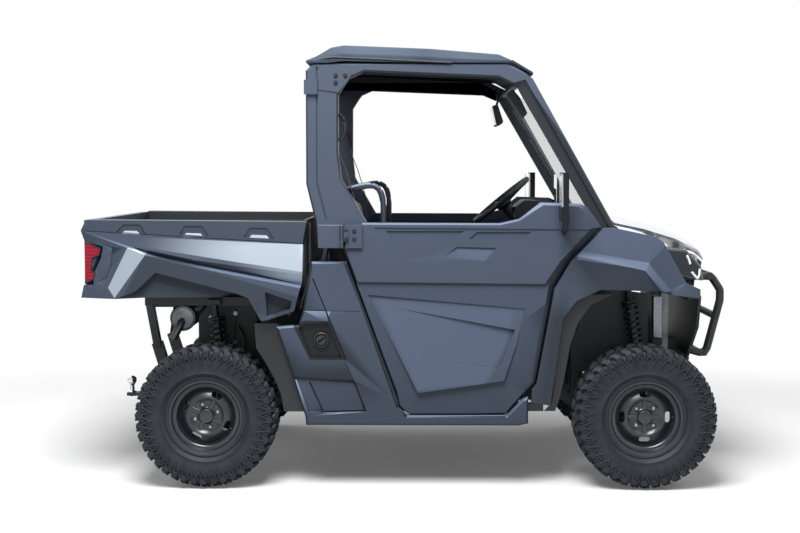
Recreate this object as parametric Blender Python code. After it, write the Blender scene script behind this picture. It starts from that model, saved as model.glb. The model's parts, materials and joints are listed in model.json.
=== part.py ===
"""Side by side utility vehicle: open cab under a roll cage, tilting cargo bed, doors hinged at the rear.

Metres. +X is forward, +Z is up, the driver sits at +Y. The origin is on the ground under the middle of the vehicle.
"""

import math

import bmesh
import bpy
from mathutils import Matrix, Vector

SEAT_GAP = 0.0003  # between pieces that touch
RIGHT, LEFT = -1, 1
SIDES = {"right": RIGHT, "left": LEFT}

# Wheels and tyres: 26 inch tyres on 12 inch rims
TYRE_RADIUS = 0.330
LUG_ROWS = 26
LUG_HEIGHT = 0.020
CROWN_DIP = 0.003  # the tread's middle lies lower than the lugs beside it
AXLE_Z = TYRE_RADIUS * math.cos(math.pi / LUG_ROWS)  # a lug's flat top stands on the ground
FRONT_AXLE_X = 1.078
REAR_AXLE_X = -0.926
WHEEL_OUTER_Y = 0.780
FRONT_TYRE_WIDTH = 0.230
REAR_TYRE_WIDTH = 0.270
BEAD_RADIUS = 0.156
RIM_FLANGE_RADIUS = 0.1675
FRONT_RIM_WIDTH = 0.170
REAR_RIM_WIDTH = 0.200
RIM_WALL = 0.005
HUB_RADIUS = 0.062
DISH_DEPTH = 0.050  # from the outer flange back to the face that bolts to the hub
KINGPIN_Y = 0.620
STEER_ARM = 0.070
KNUCKLE_TOP_Z = 0.414
SLOT_RADIUS = 0.103  # of the slots in the wheel, from its middle

# Ends of the vehicle, beyond the axles
FRONT_OVERHANG = 0.417
REAR_OVERHANG = 0.569
FRONT_END_X = FRONT_AXLE_X + FRONT_OVERHANG
REAR_END_X = REAR_AXLE_X - REAR_OVERHANG

# Body panels
PANEL_INNER_Y = 0.700
PANEL_OUTER_Y = 0.745
LINER_WALL = 0.008
DOOR_SKIN = 0.012  # thinnest wall of a door behind its relief
BEVEL = 0.008

# Cab
TUB_HALF_WIDTH = 0.620
TUB_WALL = 0.012
FLOOR_Z = 0.400
FIREWALL_X = 0.690
BULKHEAD_X = -0.405
SEAT_BASE_Z = 0.700
SEAT_BASE_FRONT_X = 0.100
CAGE_INNER_Y = 0.640
CAGE_OUTER_Y = 0.695
CAGE_TUBE = 0.024
ROOF_TOP_Z = 2.020
ROOF_SEAT_Z = 1.932
DOOR_HINGE_X = -0.300
DOOR_HINGE_Y = 0.765
HINGE_LOW_Z = 1.100
HINGE_HIGH_Z = 1.203
HINGE_KNUCKLE = 0.030
HINGE_RADIUS = 0.009
SEAT_Y = 0.320
SEAT_WIDTH = 0.520
STEER_WHEEL_CENTRE = Vector((0.484, 0.350, 1.293))
STEER_WHEEL_RADIUS = 0.176
STEER_GRIP = 0.014
STEER_TILT = math.radians(39.5)  # of the wheel's plane above level

# Cargo bed
BED_PIVOT = Vector((-1.200, 0.0, 0.862))
BED_FLOOR_Z = 0.930
BED_TOP_Z = 1.222
BED_FRONT_X = -0.468
TAILGATE_THICK = 0.038
BED_REAR_X = REAR_END_X + TAILGATE_THICK + 0.005
BED_HALF_WIDTH = 0.640
BED_WALL = 0.018
TAILGATE_PIVOT = Vector((REAR_END_X + 0.025, 0.0, 0.924))
BED_HINGE_START = 0.400  # of the tailgate hinge, from the middle outwards
BED_HINGE_END = 0.450

BAR_RADIUS = 0.019
BAR_Y = 0.420

# Chassis
RAIL_Y = 0.200
RAIL_SIZE = 0.050
RAIL_Z = FLOOR_Z - TUB_WALL - SEAT_GAP - RAIL_SIZE / 2
AXLE_RAIL_Z = 0.262  # the rails drop under the two drive units
ROCKER_SIZE = 0.036
CROSS_SIZE = 0.031
ROCKER_Y = 0.655
REAR_DECK_Z = 0.825
FRONT_DECK_Z = 0.900
FRONT_DECK_Y = 0.355
REAR_DECK_Y = 0.400
FRONT_POST_X = 1.290
SKID_X = FRONT_POST_X + 0.040  # back of the skid plate, on its cross member
EAR_Y = 0.384  # inner faces of the ears that hold the bed's pins
FRONT_TRAY_Z = 0.285  # top of the seats for the lower ends of the shocks
REAR_TRAY_Z = 0.300
SHOCK_MOUNT = 0.012  # half height of the brackets that hold the shocks' upper ends
HITCH_CROSS_X = -1.145
HITCH_Z = 0.320
RADIATOR_Z = 0.560
HOOD_PIVOT = Vector((0.962, 0.0, 1.205))

COLOURS = {
    # finish: (red, green, blue, metallic, roughness)
    "slate panel": (0.115, 0.135, 0.165, 0.0, 0.42),
    "dark panel": (0.035, 0.038, 0.045, 0.0, 0.55),
    "silver panel": (0.52, 0.54, 0.57, 0.6, 0.35),
    "black steel": (0.018, 0.018, 0.020, 0.2, 0.50),
    "tyre rubber": (0.014, 0.014, 0.015, 0.0, 0.80),
    "wheel steel": (0.020, 0.021, 0.024, 0.3, 0.45),
    "cast aluminium": (0.42, 0.43, 0.44, 0.9, 0.45),
    "seat vinyl": (0.022, 0.022, 0.024, 0.0, 0.60),
    "clear glass": (0.60, 0.72, 0.75, 0.0, 0.05),
    "red lens": (0.42, 0.015, 0.012, 0.0, 0.20),
    "lamp lens": (0.70, 0.72, 0.75, 0.0, 0.10),
    "bright steel": (0.55, 0.55, 0.56, 1.0, 0.30),
}


def finish(name):
    """One Principled material for each finish, shared by the pieces that have it."""
    material = bpy.data.materials.get(name)
    if material is None:
        red, green, blue, metallic, roughness = COLOURS[name]
        material = bpy.data.materials.new(name)
        material.use_nodes = True
        shader = material.node_tree.nodes["Principled BSDF"]
        shader.inputs["Base Color"].default_value = (red, green, blue, 1.0)
        shader.inputs["Metallic"].default_value = metallic
        shader.inputs["Roughness"].default_value = roughness
    return material


def shape(bm):
    """A loose object from a bmesh, with its faces turned outwards."""
    bmesh.ops.recalc_face_normals(bm, faces=bm.faces)
    mesh = bpy.data.meshes.new("shape")
    bm.to_mesh(mesh)
    bm.free()
    obj = bpy.data.objects.new("shape", mesh)
    bpy.context.scene.collection.objects.link(obj)
    return obj


def rings_shape(rings, closed=False):
    """Skin over rings of equal length. Open ends are capped."""
    bm = bmesh.new()
    loops = [[bm.verts.new(point) for point in ring] for ring in rings]
    count = len(loops[0])
    pairs = list(zip(loops, loops[1:]))
    if closed:
        pairs.append((loops[-1], loops[0]))
    else:
        bm.faces.new(loops[0])
        bm.faces.new(reversed(loops[-1]))
    for low, high in pairs:
        for i in range(count):
            j = (i + 1) % count
            bm.faces.new((low[i], high[i], high[j], low[j]))
    return shape(bm)


def inset_outline(outline, amount):
    """The outline moved inwards by amount, corner by corner."""
    area = sum(a[0] * b[1] - b[0] * a[1] for a, b in zip(outline, outline[1:] + outline[:1]))
    turn = 1.0 if area > 0 else -1.0
    moved = []
    for i, corner in enumerate(outline):
        before, after = Vector(outline[i - 1]), Vector(outline[(i + 1) % len(outline)])
        here = Vector(corner)
        one, two = (here - before).normalized(), (after - here).normalized()
        inward_one, inward_two = Vector((-one.y, one.x)) * turn, Vector((-two.y, two.x)) * turn
        mid = (inward_one + inward_two).normalized()
        moved.append(tuple(here + mid * (amount / max(mid.dot(inward_one), 0.5))))
    return moved


def plate(outline, inner_y, outer_y, bevel=0.0):
    """A side outline of x, z corners given a thickness in y, its outer edge bevelled."""
    steps = [(inner_y, 0.0)]
    if bevel:
        steps.append((outer_y - math.copysign(bevel, outer_y - inner_y), 0.0))
    steps.append((outer_y, bevel))
    return rings_shape(
        [[(x, y, z) for x, z in (inset_outline(outline, inset) if inset else outline)] for y,
         inset in steps]
    )


def relief(side, inner_y, points, facets, rim_names):
    """A moulding with a faceted outer skin. Points are x, z and y counted outwards; the rim runs round its edge."""
    bm = bmesh.new()
    skin = {name: bm.verts.new((x, side * y, z)) for name, (x, z, y) in points.items()}
    rim_names = rim_names.split()
    back = {name: bm.verts.new((points[name][0], side * inner_y, points[name][1])) for name in rim_names}
    for facet in facets:
        bm.faces.new([skin[name] for name in facet.split()])
    for one, two in zip(rim_names, rim_names[1:] + rim_names[:1]):
        bm.faces.new((skin[one], skin[two], back[two], back[one]))
    bm.faces.new([back[name] for name in rim_names])
    bm.normal_update()
    bmesh.ops.triangulate(bm, faces=bm.faces)
    return shape(bm)


def slab(side, far_y, rows):
    """A solid between the plane y = far_y and a face with its own y at each corner. Rows are x, z, y."""
    return rings_shape([[(x, side * far_y, z) for x, z, y in rows], [(x, side * y, z) for x, z, y in rows]])


def plan(outline, low_z, high_z):
    """A plan outline of x, y corners given a height."""
    return rings_shape([[(x, y, z) for x, y in outline] for z in (low_z, high_z)])


def box(low, high):
    return plan([(low[0], low[1]), (high[0], low[1]), (high[0], high[1]), (low[0], high[1])], low[2],
                high[2])


def side_box(side, x_range, y_range, z_range):
    """A box on one side of the vehicle, its y range counted outwards."""
    ys = sorted(side * y for y in y_range)
    return box((x_range[0], ys[0], z_range[0]), (x_range[1], ys[1], z_range[1]))


def rounded_path(points, bend, steps=3):
    """The route with each inner corner turned into an arc of the given radius."""
    route = [Vector(points[0])]
    for before, corner, after in zip(points, points[1:], points[2:]):
        before, corner, after = Vector(before), Vector(corner), Vector(after)
        back, ahead = (before - corner).normalized(), (after - corner).normalized()
        half = back.angle(ahead) / 2
        reach = min(bend / math.tan(half), 0.45 * (before - corner).length, 0.45 * (after - corner).length)
        start, end = corner + back * reach, corner + ahead * reach
        for i in range(steps + 1):
            t = i / steps
            route.append(start * (1 - t) ** 2 + corner * (2 * t * (1 - t)) + end * t**2)
    route.append(Vector(points[-1]))
    return route


def tube(points, radius, bend=0.0, sides=8, steps=3):
    """A closed round bar along a route, mitred at its bends; four sides give a square bar of that half width."""
    route = rounded_path(points, bend, steps) if bend else [Vector(p) for p in points]
    reach = radius / math.cos(math.pi / sides) if sides == 4 else radius
    headings = [(ahead - here).normalized() for here, ahead in zip(route, route[1:])]
    across = headings[0].cross(Vector((0, 0, 1)))
    if across.length < 0.05:
        across = headings[0].cross(Vector((1, 0, 0)))
    across.normalize()
    rings = []
    for i, here in enumerate(route):
        heading = headings[max(i - 1, 0)]
        ahead = headings[min(i, len(headings) - 1)]
        plane = (heading + ahead).normalized()
        across = (across - heading * across.dot(heading)).normalized()
        up = heading.cross(across)
        ring = []
        for k in range(sides):
            angle = 2 * math.pi * (k + 0.5) / sides
            spoke = (across * math.cos(angle) + up * math.sin(angle)) * reach
            ring.append(here + spoke - heading * (spoke.dot(plane) / heading.dot(plane)))
        rings.append(ring)
    return rings_shape(rings)


def turned(profile, centre, axis="Y", steps=24, turn=0.0):
    """A solid of revolution. The profile runs from axis to axis, as radius and distance along the axis."""
    frame = {
        "X": (Vector((0, 1, 0)), Vector((0, 0, 1)), Vector((1, 0, 0))),
        "Y": (Vector((1, 0, 0)), Vector((0, 0, 1)), Vector((0, 1, 0))),
        "Z": (Vector((1, 0, 0)), Vector((0, 1, 0)), Vector((0, 0, 1))),
    }[axis]
    return turned_about(profile, Vector(centre), frame, steps, turn)


def turned_about(profile, centre, frame, steps, turn=0.0):
    across, up, along = frame
    rings = []
    for radius, distance in profile:
        ring = []
        for k in range(steps):
            angle = turn + 2 * math.pi * k / steps
            ring.append(centre + along * distance + (across * math.cos(angle) + up * math.sin(angle)) * radius)
        rings.append(ring)
    return rings_shape(rings)


def turned_ring(profile, centre, steps=24, turn=0.0):
    """A ring about the y axis with a closed profile of radius, y corners."""
    rings = []
    for k in range(steps):
        angle = turn + 2 * math.pi * k / steps
        rings.append([
            (centre[0] + r * math.cos(angle), centre[1] + y, centre[2] + r * math.sin(angle)) for r,
            y in profile
        ])
    return rings_shape(rings, closed=True)


def combine(operation, base, others):
    for other in others:
        cut = base.modifiers.new(operation.lower(), "BOOLEAN")
        cut.operation = operation
        cut.solver = "EXACT"
        cut.object = other
    bpy.context.view_layer.update()
    graph = bpy.context.evaluated_depsgraph_get()
    mesh = bpy.data.meshes.new_from_object(base.evaluated_get(graph))
    base.modifiers.clear()
    base.data = mesh
    for other in others:
        bpy.data.objects.remove(other)
    return base


def union(shapes):
    return combine("UNION", shapes[0], shapes[1:]) if len(shapes) > 1 else shapes[0]


def carve(base, cutters):
    return combine("DIFFERENCE", base, cutters)


def node(name, obj, colour, pivot=(0, 0, 0), parent=None, smooth=False):
    """Names a finished solid and moves its origin to its pivot, under its parent."""
    pivot = Vector(pivot)
    obj.data.transform(Matrix.Translation(-pivot))
    obj.name = name
    obj.data.name = name
    obj.data.materials.clear()
    obj.data.materials.append(finish(colour))
    if smooth:
        obj.data.shade_smooth()
        obj.data.set_sharp_from_angle(angle=math.radians(35))
    obj.location = pivot
    if parent is not None:
        obj.parent = parent
        obj.location = pivot - world_place(parent)
    return obj


def world_place(obj):
    place = Vector(obj.location)
    while obj.parent is not None:
        obj = obj.parent
        place += Vector(obj.location)
    return place


def joint_empty(name, place, parent=None):
    """An empty on a joint's axis, which carries what moves with it."""
    empty = bpy.data.objects.new(name, None)
    bpy.context.scene.collection.objects.link(empty)
    empty.location = Vector(place)
    if parent is not None:
        empty.parent = parent
        empty.location = Vector(place) - world_place(parent)
    return empty


# Tyres: a turned casing whose tread cells stand up in turn as lugs, slanted into a chevron
def tyre(name, axle_x, side, width, rim_width, parent):
    half = width / 2
    bead = rim_width / 2
    casing_radius = TYRE_RADIUS - LUG_HEIGHT
    # columns: radius, distance from the middle, share of a lug row that the column is turned by
    half_section = [
        ((BEAD_RADIUS + SEAT_GAP) / math.cos(math.pi / LUG_ROWS), bead - 0.012, 1.0),
        (RIM_FLANGE_RADIUS + 0.006, bead - 0.008, 1.0),
        (0.230, half - 0.002, 1.0),
        (0.280, half - 0.004, 1.0),
        (casing_radius - 0.010, half * 0.74, 0.5),
        (casing_radius, half * 0.36, 0.0),
    ]
    section = [(r, -y, skew) for r, y, skew in half_section] + [(casing_radius - CROWN_DIP, 0.0, -0.5)]
    section += [(r, y, skew) for r, y, skew in reversed(half_section)]
    centre = Vector((axle_x, side * (WHEEL_OUTER_Y - half), AXLE_Z))
    bm = bmesh.new()
    row_angle = 2 * math.pi / LUG_ROWS
    grid = []
    for row in range(LUG_ROWS):
        line = []
        for r, y, skew in section:
            angle = -math.pi / 2 + (row + 0.5 + skew) * row_angle
            line.append(bm.verts.new(centre + Vector((r * math.cos(angle), y, r * math.sin(angle)))))
        grid.append(line)
    columns = len(section)
    lugs = []
    for row in range(LUG_ROWS):
        here, ahead = grid[row], grid[(row + 1) % LUG_ROWS]
        for column in range(columns):
            across = (column + 1) % columns
            face = bm.faces.new((here[column], here[across], ahead[across], ahead[column]))
            from_edge = min(column, columns - 2 - column)
            if from_edge in (3, 4, 5) and (row + from_edge) % 2 == 0:
                lugs.append(face)
    bmesh.ops.recalc_face_normals(bm, faces=bm.faces)
    raised = bmesh.ops.extrude_discrete_faces(bm, faces=lugs)["faces"]
    for face in raised:
        middle = face.calc_center_median() - centre
        shoulder = abs(middle.y) > half * 0.74
        for vert in face.verts:
            spoke = vert.co - centre
            spoke_out = Vector((spoke.x, 0, spoke.z))
            if shoulder:
                vert.co += spoke_out.normalized() * (0.009 if abs(spoke.y) > half * 0.8 else LUG_HEIGHT * 0.95)
            else:
                vert.co += spoke_out.normalized() * LUG_HEIGHT
            vert.co -= (vert.co - face.calc_center_median()) * 0.04
    obj = shape(bm)
    return node(name, obj, "tyre rubber", centre, parent)


# Rims: a pressed dish welded into a rolled barrel, four slots in the dish, hub bore behind a cap
def rim(name, axle_x, side, tyre_width, rim_width, slot_turn, parent):
    centre = Vector((axle_x, side * (WHEEL_OUTER_Y - tyre_width / 2), AXLE_Z))
    half = rim_width / 2
    inner = BEAD_RADIUS - RIM_WALL
    barrel_profile = [
        (inner, -half), (RIM_FLANGE_RADIUS, -half), (RIM_FLANGE_RADIUS, -half + 0.006),
        (BEAD_RADIUS, -half + 0.008),
        (BEAD_RADIUS, half - 0.008), (RIM_FLANGE_RADIUS, half - 0.006), (RIM_FLANGE_RADIUS, half),
        (inner, half),
    ]
    face = side * (half - DISH_DEPTH)
    wall = side * RIM_WALL
    dish_profile = [
        (0.0, face - wall), (HUB_RADIUS, face - wall), (0.095, face + 3 * wall),
        (inner + 0.003, face + 2 * wall),
        (inner + 0.003, face + 3 * wall), (0.093, face + 4.2 * wall), (HUB_RADIUS - 0.003, face),
        (0.036, face), (0.034, face + 4 * wall), (0.0, face + 4.6 * wall),
    ]
    barrel = turned_ring(barrel_profile, centre, 18)
    dish = turned(dish_profile, centre, "Y", 18)
    slots = []
    for k in range(4):
        angle = math.radians(slot_turn) + k * math.pi / 2
        middle = centre + Vector((math.cos(angle) * SLOT_RADIUS, face + 2.5 * wall,
                                  math.sin(angle) * SLOT_RADIUS))
        tangent = Vector((-math.sin(angle), 0, math.cos(angle)))
        outward = Vector((math.cos(angle), 0, math.sin(angle)))
        ring = [
            middle + tangent * (0.027 * math.cos(t)) + outward * (0.013 * math.sin(t))
            for t in [2 * math.pi * i / 6 for i in range(6)]
        ]
        slots.append(rings_shape([[p + Vector((0, d, 0)) for p in ring] for d in (-0.03, 0.03)]))
    dish = carve(dish, slots)
    return node(name, union([barrel, dish]), "wheel steel", centre, parent)


def chassis():
    """Two main rails that drop under the axles, upper decks that carry bed and bodywork, and rockers under the cab."""
    parts = []
    beam = CROSS_SIZE / 2
    for side in SIDES.values():
        parts.append(tube([
            (-1.25, side * RAIL_Y, 0.60), (-1.22, side * RAIL_Y, 0.50), (-1.12, side * RAIL_Y, AXLE_RAIL_Z),
            (-0.72, side * RAIL_Y, AXLE_RAIL_Z), (-0.60, side * RAIL_Y, RAIL_Z),
            (0.74, side * RAIL_Y, RAIL_Z),
            (0.86, side * RAIL_Y, AXLE_RAIL_Z), (1.22, side * RAIL_Y, AXLE_RAIL_Z),
            (1.30, side * RAIL_Y, 0.62),
        ], RAIL_SIZE / 2, sides=4))
        parts.append(tube([(-1.245, side * RAIL_Y, 0.57), (-1.245, side * REAR_DECK_Y, REAR_DECK_Z)],
                          0.018, sides=4))
        parts.append(tube([(-1.264, side * REAR_DECK_Y, REAR_DECK_Z),
                           (-0.48, side * REAR_DECK_Y, REAR_DECK_Z)],
                          0.020, sides=4))
        parts.append(tube([(-0.50, side * REAR_DECK_Y, REAR_DECK_Z),
                           (-0.50, side * (RAIL_Y + 0.022), RAIL_Z)],
                          0.018, sides=4))
        parts.append(tube([(-0.48, side * ROCKER_Y, RAIL_Z), (0.62, side * ROCKER_Y, RAIL_Z)],
                          ROCKER_SIZE / 2, sides=4))
        # upper wishbone: front leg from the rail's upturned end, rear leg from a post, ball joint over the knuckle
        arm_z = KNUCKLE_TOP_Z + 0.0125
        parts.append(tube([(1.262, side * (RAIL_Y + 0.010), 0.462),
                           (FRONT_AXLE_X + 0.008, side * KINGPIN_Y, arm_z)],
                          0.0115, sides=6))
        parts.append(tube([(0.894, side * (RAIL_Y + 0.005), 0.462),
                           (FRONT_AXLE_X - 0.008, side * KINGPIN_Y, arm_z)],
                          0.0115, sides=6))
        parts.append(tube([(0.894, side * (RAIL_Y + 0.002), AXLE_RAIL_Z),
                           (0.894, side * (RAIL_Y + 0.002), 0.480)],
                          0.016, sides=6))
        joint_low = KNUCKLE_TOP_Z + SEAT_GAP
        parts.append(turned([(0.0, joint_low), (0.021, joint_low), (0.021, joint_low + 0.022),
                             (0.0, joint_low + 0.022)],
                            (FRONT_AXLE_X, side * KINGPIN_Y, 0), "Z", 10))
        parts.append(tube([
            (0.80, side * RAIL_Y, RAIL_Z - 0.04), (0.80, side * FRONT_DECK_Y, 0.70),
            (0.80, side * FRONT_DECK_Y, FRONT_DECK_Z), (FRONT_POST_X, side * FRONT_DECK_Y, FRONT_DECK_Z),
            (FRONT_POST_X, side * RAIL_Y, 0.60),
        ], 0.016, sides=8))
        parts.append(side_box(side, (REAR_AXLE_X - 0.03, REAR_AXLE_X + 0.03), (REAR_DECK_Y - 0.01, 0.462),
                              (REAR_DECK_Z - SHOCK_MOUNT, REAR_DECK_Z + SHOCK_MOUNT)))
        parts.append(side_box(side, (1.015, 1.075), (FRONT_DECK_Y - 0.01, 0.425),
                              (FRONT_DECK_Z - SHOCK_MOUNT, FRONT_DECK_Z + SHOCK_MOUNT)))
        parts.append(side_box(side, (-1.235, -1.165), (EAR_Y, EAR_Y + 0.012),
                              (REAR_DECK_Z - 0.01, BED_PIVOT.z + 0.016)))
    # cross members: x, half width, height
    for x, half, z in (
        (-1.25, REAR_DECK_Y, REAR_DECK_Z), (-0.50, REAR_DECK_Y, REAR_DECK_Z),
        (HITCH_CROSS_X, RAIL_Y, HITCH_Z),
        (REAR_AXLE_X, RAIL_Y, AXLE_RAIL_Z), (-0.46, ROCKER_Y, RAIL_Z), (0.10, ROCKER_Y, RAIL_Z),
        (0.60, ROCKER_Y, RAIL_Z), (FRONT_AXLE_X, RAIL_Y, AXLE_RAIL_Z),
        (1.260, RAIL_Y, RADIATOR_Z - SEAT_GAP - beam),
        (SKID_X - SEAT_GAP - beam, 0.360, 0.550), (FRONT_POST_X, FRONT_DECK_Y, FRONT_DECK_Z),
        (FRONT_POST_X, BAR_Y + 0.020, FRONT_DECK_Z + 0.030), (0.80, FRONT_DECK_Y, FRONT_DECK_Z),
    ):
        parts.append(tube([(x, -half, z), (x, half, z)], beam, sides=4))
    return node("frame", union(parts), "black steel")


def cage():
    """Two side frames with pillar covers, tied by cross tubes, with legs down to the rockers."""
    outer = [
        (-0.465, 1.900), (-0.465, 1.388), (-0.426, 1.226), (-0.420, 1.110), (-0.310, 1.110),
        (-0.191, 1.213),
        (-0.306, 1.412), (-0.319, 1.529), (-0.318, 1.790), (-0.272, 1.862), (-0.200, 1.894), (0.405, 1.868),
        (0.490, 1.828), (0.880, 1.160), (0.945, 1.180), (0.560, 1.862), (0.520, 1.893),
        (0.440, ROOF_SEAT_Z - SEAT_GAP),
        (-0.430, ROOF_SEAT_Z - SEAT_GAP),
    ]
    foot_z = RAIL_Z + ROCKER_SIZE / 2 + SEAT_GAP
    parts = []
    for side in SIDES.values():
        covers = plate(outer, side * CAGE_INNER_Y, side * CAGE_OUTER_Y, BEVEL)
        front_step = plate([(0.470, 1.842), (0.860, 1.160), (0.905, 1.168), (0.915, 1.186), (0.526, 1.858)],
                           side * (CAGE_OUTER_Y - 0.018), side * (CAGE_OUTER_Y + 0.01))
        rear_groove = plate([(-0.418, 1.915), (-0.419, 1.391), (-0.378, 1.225), (-0.370, 1.227),
                             (-0.411, 1.393),
                             (-0.410, 1.915)], side * (CAGE_OUTER_Y - 0.010), side * (CAGE_OUTER_Y + 0.01))
        parts.append(carve(covers, [front_step, rear_groove]))
        parts.append(plate([(-0.404, 1.922), (-0.358, 1.925), (-0.271, 1.925), (-0.260, 1.915),
                            (-0.260, 1.876),
                            (-0.317, 1.800), (-0.404, 1.813)], side * (CAGE_OUTER_Y - 0.005),
                            side * (CAGE_OUTER_Y + 0.004)))
        parts.append(side_box(side, (-0.472, -0.411), (CAGE_OUTER_Y - 0.008, CAGE_OUTER_Y + 0.014),
                              (1.792, 1.857)))
        leg_y = side * (CAGE_INNER_Y + 0.022)
        parts.append(tube([(-0.37, leg_y, 1.15), (-0.43, leg_y, 0.80), (-0.43, leg_y, foot_z)], 0.018,
                          0.05, 6, 2))
        parts.append(tube([(0.90, leg_y, 1.19), (0.675, leg_y, 0.90), (0.600, leg_y, 0.62),
                           (0.600, leg_y, foot_z)],
                          0.018, 0.05, 6, 2))
        hoop_y = side * 0.56
        parts.append(tube([
            (-0.35, side * 0.65, 1.33), (-0.30, hoop_y, 1.36), (-0.14, hoop_y, 1.385),
            (-0.115, hoop_y, 1.28),
            (-0.115, hoop_y, 0.95), (-0.16, side * 0.65, 0.90), (-0.40, side * 0.655, 0.90),
        ], 0.0125, 0.06, 6))
        parts.append(side_box(side, (0.895, HOOD_PIVOT.x + 0.004), (0.32 + SEAT_GAP, 0.335),
                              (1.160, HOOD_PIVOT.z - 0.001)))
    for x, z in ((-0.40, 1.885), (0.515, 1.862), (-0.385, 1.30), (0.905, 1.165), (-0.425, 1.00)):
        parts.append(tube([(x, -CAGE_INNER_Y - 0.02, z), (x, CAGE_INNER_Y + 0.02, z)], CAGE_TUBE * 0.8,
                          sides=6))
    return node("roll_cage", union(parts), "slate panel")


def roof():
    """A moulded shell, crowned across, that turns down over the cage at its front."""
    top = [(-0.462, 1.946), (-0.411, 1.977), (-0.355, 2.010), (-0.295, ROOF_TOP_Z), (0.097, 2.004),
           (0.411, 1.978),
           (0.469, 1.952), (0.560, 1.890)]
    wall = 0.030
    # sections across: y, drop of the top surface
    half_sections = [(0.702, 0.050), (0.698, 0.042), (0.655, 0.008), (0.600, 0.000), (0.430, -0.002),
                     (0.400, -0.012)]
    sections = [(-y, drop) for y, drop in half_sections] + list(reversed(half_sections))
    rings = []
    for y, drop in sections:
        upper = [(x, y, max(z - drop, ROOF_SEAT_Z + 0.012)) for x,
                 z in top[:-1]] + [(top[-1][0], y, top[-1][1])]
        lower = [(x, y, max(z - wall, ROOF_SEAT_Z)) for x, y, z in upper[:-1]]
        lower.append((top[-1][0], y, top[-1][1] - 0.012))
        rings.append(upper + list(reversed(lower)))
    return node("roof", rings_shape(rings), "slate panel")


def windshield():
    low, high = Vector((0.928, 0, 1.200)), Vector((0.560, 0, 1.848))
    slope = (high - low).normalized()
    normal = Vector((slope.z, 0, -slope.x))
    half = CAGE_INNER_Y - SEAT_GAP
    corners = [low + slope * 0.02, high - slope * 0.03]
    rings = []
    for y in (-half, half):
        rings.append([corners[0] + Vector((0, y, 0)), corners[1] + Vector((0, y, 0)),
                      corners[1] + Vector((0, y, 0)) - normal * 0.006,
                      corners[0] + Vector((0, y, 0)) - normal * 0.006])
    return node("windshield", rings_shape(rings), "clear glass")


def cab_tub():
    """Floor, firewall, seat base and bulkhead as one moulded tub."""
    w = TUB_HALF_WIDTH
    outline = [
        (BULKHEAD_X - TUB_WALL, FLOOR_Z - TUB_WALL), (FIREWALL_X, FLOOR_Z - TUB_WALL), (FIREWALL_X, 1.080),
        (FIREWALL_X - TUB_WALL, 1.080), (FIREWALL_X - TUB_WALL, 0.560), (0.560, FLOOR_Z),
        (SEAT_BASE_FRONT_X + 0.02, FLOOR_Z),
        (SEAT_BASE_FRONT_X, SEAT_BASE_Z), (BULKHEAD_X, SEAT_BASE_Z), (BULKHEAD_X, 0.960),
        (BULKHEAD_X - TUB_WALL, 0.960),
    ]
    tub = plate(outline, -w, w)
    hollow = box((BULKHEAD_X + 0.002, -w + TUB_WALL, FLOOR_Z - 0.1),
                 (SEAT_BASE_FRONT_X - TUB_WALL, w - TUB_WALL,
                 SEAT_BASE_Z - TUB_WALL))
    return node("cab_tub", carve(tub, [hollow]), "dark panel")


def dashboard():
    outline = [
        (FIREWALL_X + SEAT_GAP, 0.780), (FIREWALL_X + 0.15, 1.10), (0.885, 1.145), (0.800, 1.190),
        (0.640, 1.225),
        (0.560, 1.200), (0.520, 1.080), (0.560, 0.960), (0.640, 0.880),
        (FIREWALL_X - TUB_WALL - SEAT_GAP, 0.860),
        (FIREWALL_X - TUB_WALL - SEAT_GAP, 1.080 + SEAT_GAP), (FIREWALL_X + SEAT_GAP, 1.080 + SEAT_GAP),
    ]
    dash = plate(outline, -0.615, 0.615)
    tilt = Vector((math.sin(STEER_TILT), 0, -math.cos(STEER_TILT)))
    column = tube([STEER_WHEEL_CENTRE + tilt * (0.045 + SEAT_GAP), STEER_WHEEL_CENTRE + tilt * 0.24],
                  0.030, sides=10)
    return node("dashboard", union([dash, column]), "dark panel")


def steering_wheel():
    """Rim, three spokes and hub, its axis leaning back towards the driver."""
    axis = Vector((-math.sin(STEER_TILT), 0, math.cos(STEER_TILT)))
    across = Vector((0, 1, 0))
    up = axis.cross(across)
    centre = STEER_WHEEL_CENTRE
    steps, grip_steps = 24, 6
    rings = []
    for k in range(steps):
        angle = 2 * math.pi * k / steps
        spoke = across * math.cos(angle) + up * math.sin(angle)
        rings.append([
            centre + spoke * (STEER_WHEEL_RADIUS + STEER_GRIP * math.cos(t)) + axis * (STEER_GRIP * math.sin(t))
            for t in [2 * math.pi * i / grip_steps for i in range(grip_steps)]
        ])
    parts = [rings_shape(rings, closed=True)]
    parts.append(turned_about([(0.0, -0.045), (0.030, -0.045), (0.045, -0.030), (0.042, -0.005),
                               (0.0, 0.0)],
                              centre, (across, up, axis), 16))
    for angle in (math.radians(10), math.radians(170), math.radians(270)):
        spoke = across * math.cos(angle) + up * math.sin(angle)
        parts.append(tube([centre - axis * 0.022 + spoke * 0.030,
                           centre - axis * 0.004 + spoke * STEER_WHEEL_RADIUS],
                          0.010, sides=6))
    return node("steering_wheel", union(parts), "black steel", centre)


def seat_cushion(name, side):
    y0, y1 = SEAT_Y - SEAT_WIDTH / 2, SEAT_Y + SEAT_WIDTH / 2
    outline = [(-0.300, SEAT_BASE_Z + SEAT_GAP), (0.130, SEAT_BASE_Z + SEAT_GAP), (0.160, 0.760),
               (0.130, 0.825),
               (0.020, 0.820), (-0.300, 0.800)]
    return node(name, plate(outline, side * y0, side * y1, 0.02), "seat vinyl")


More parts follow.
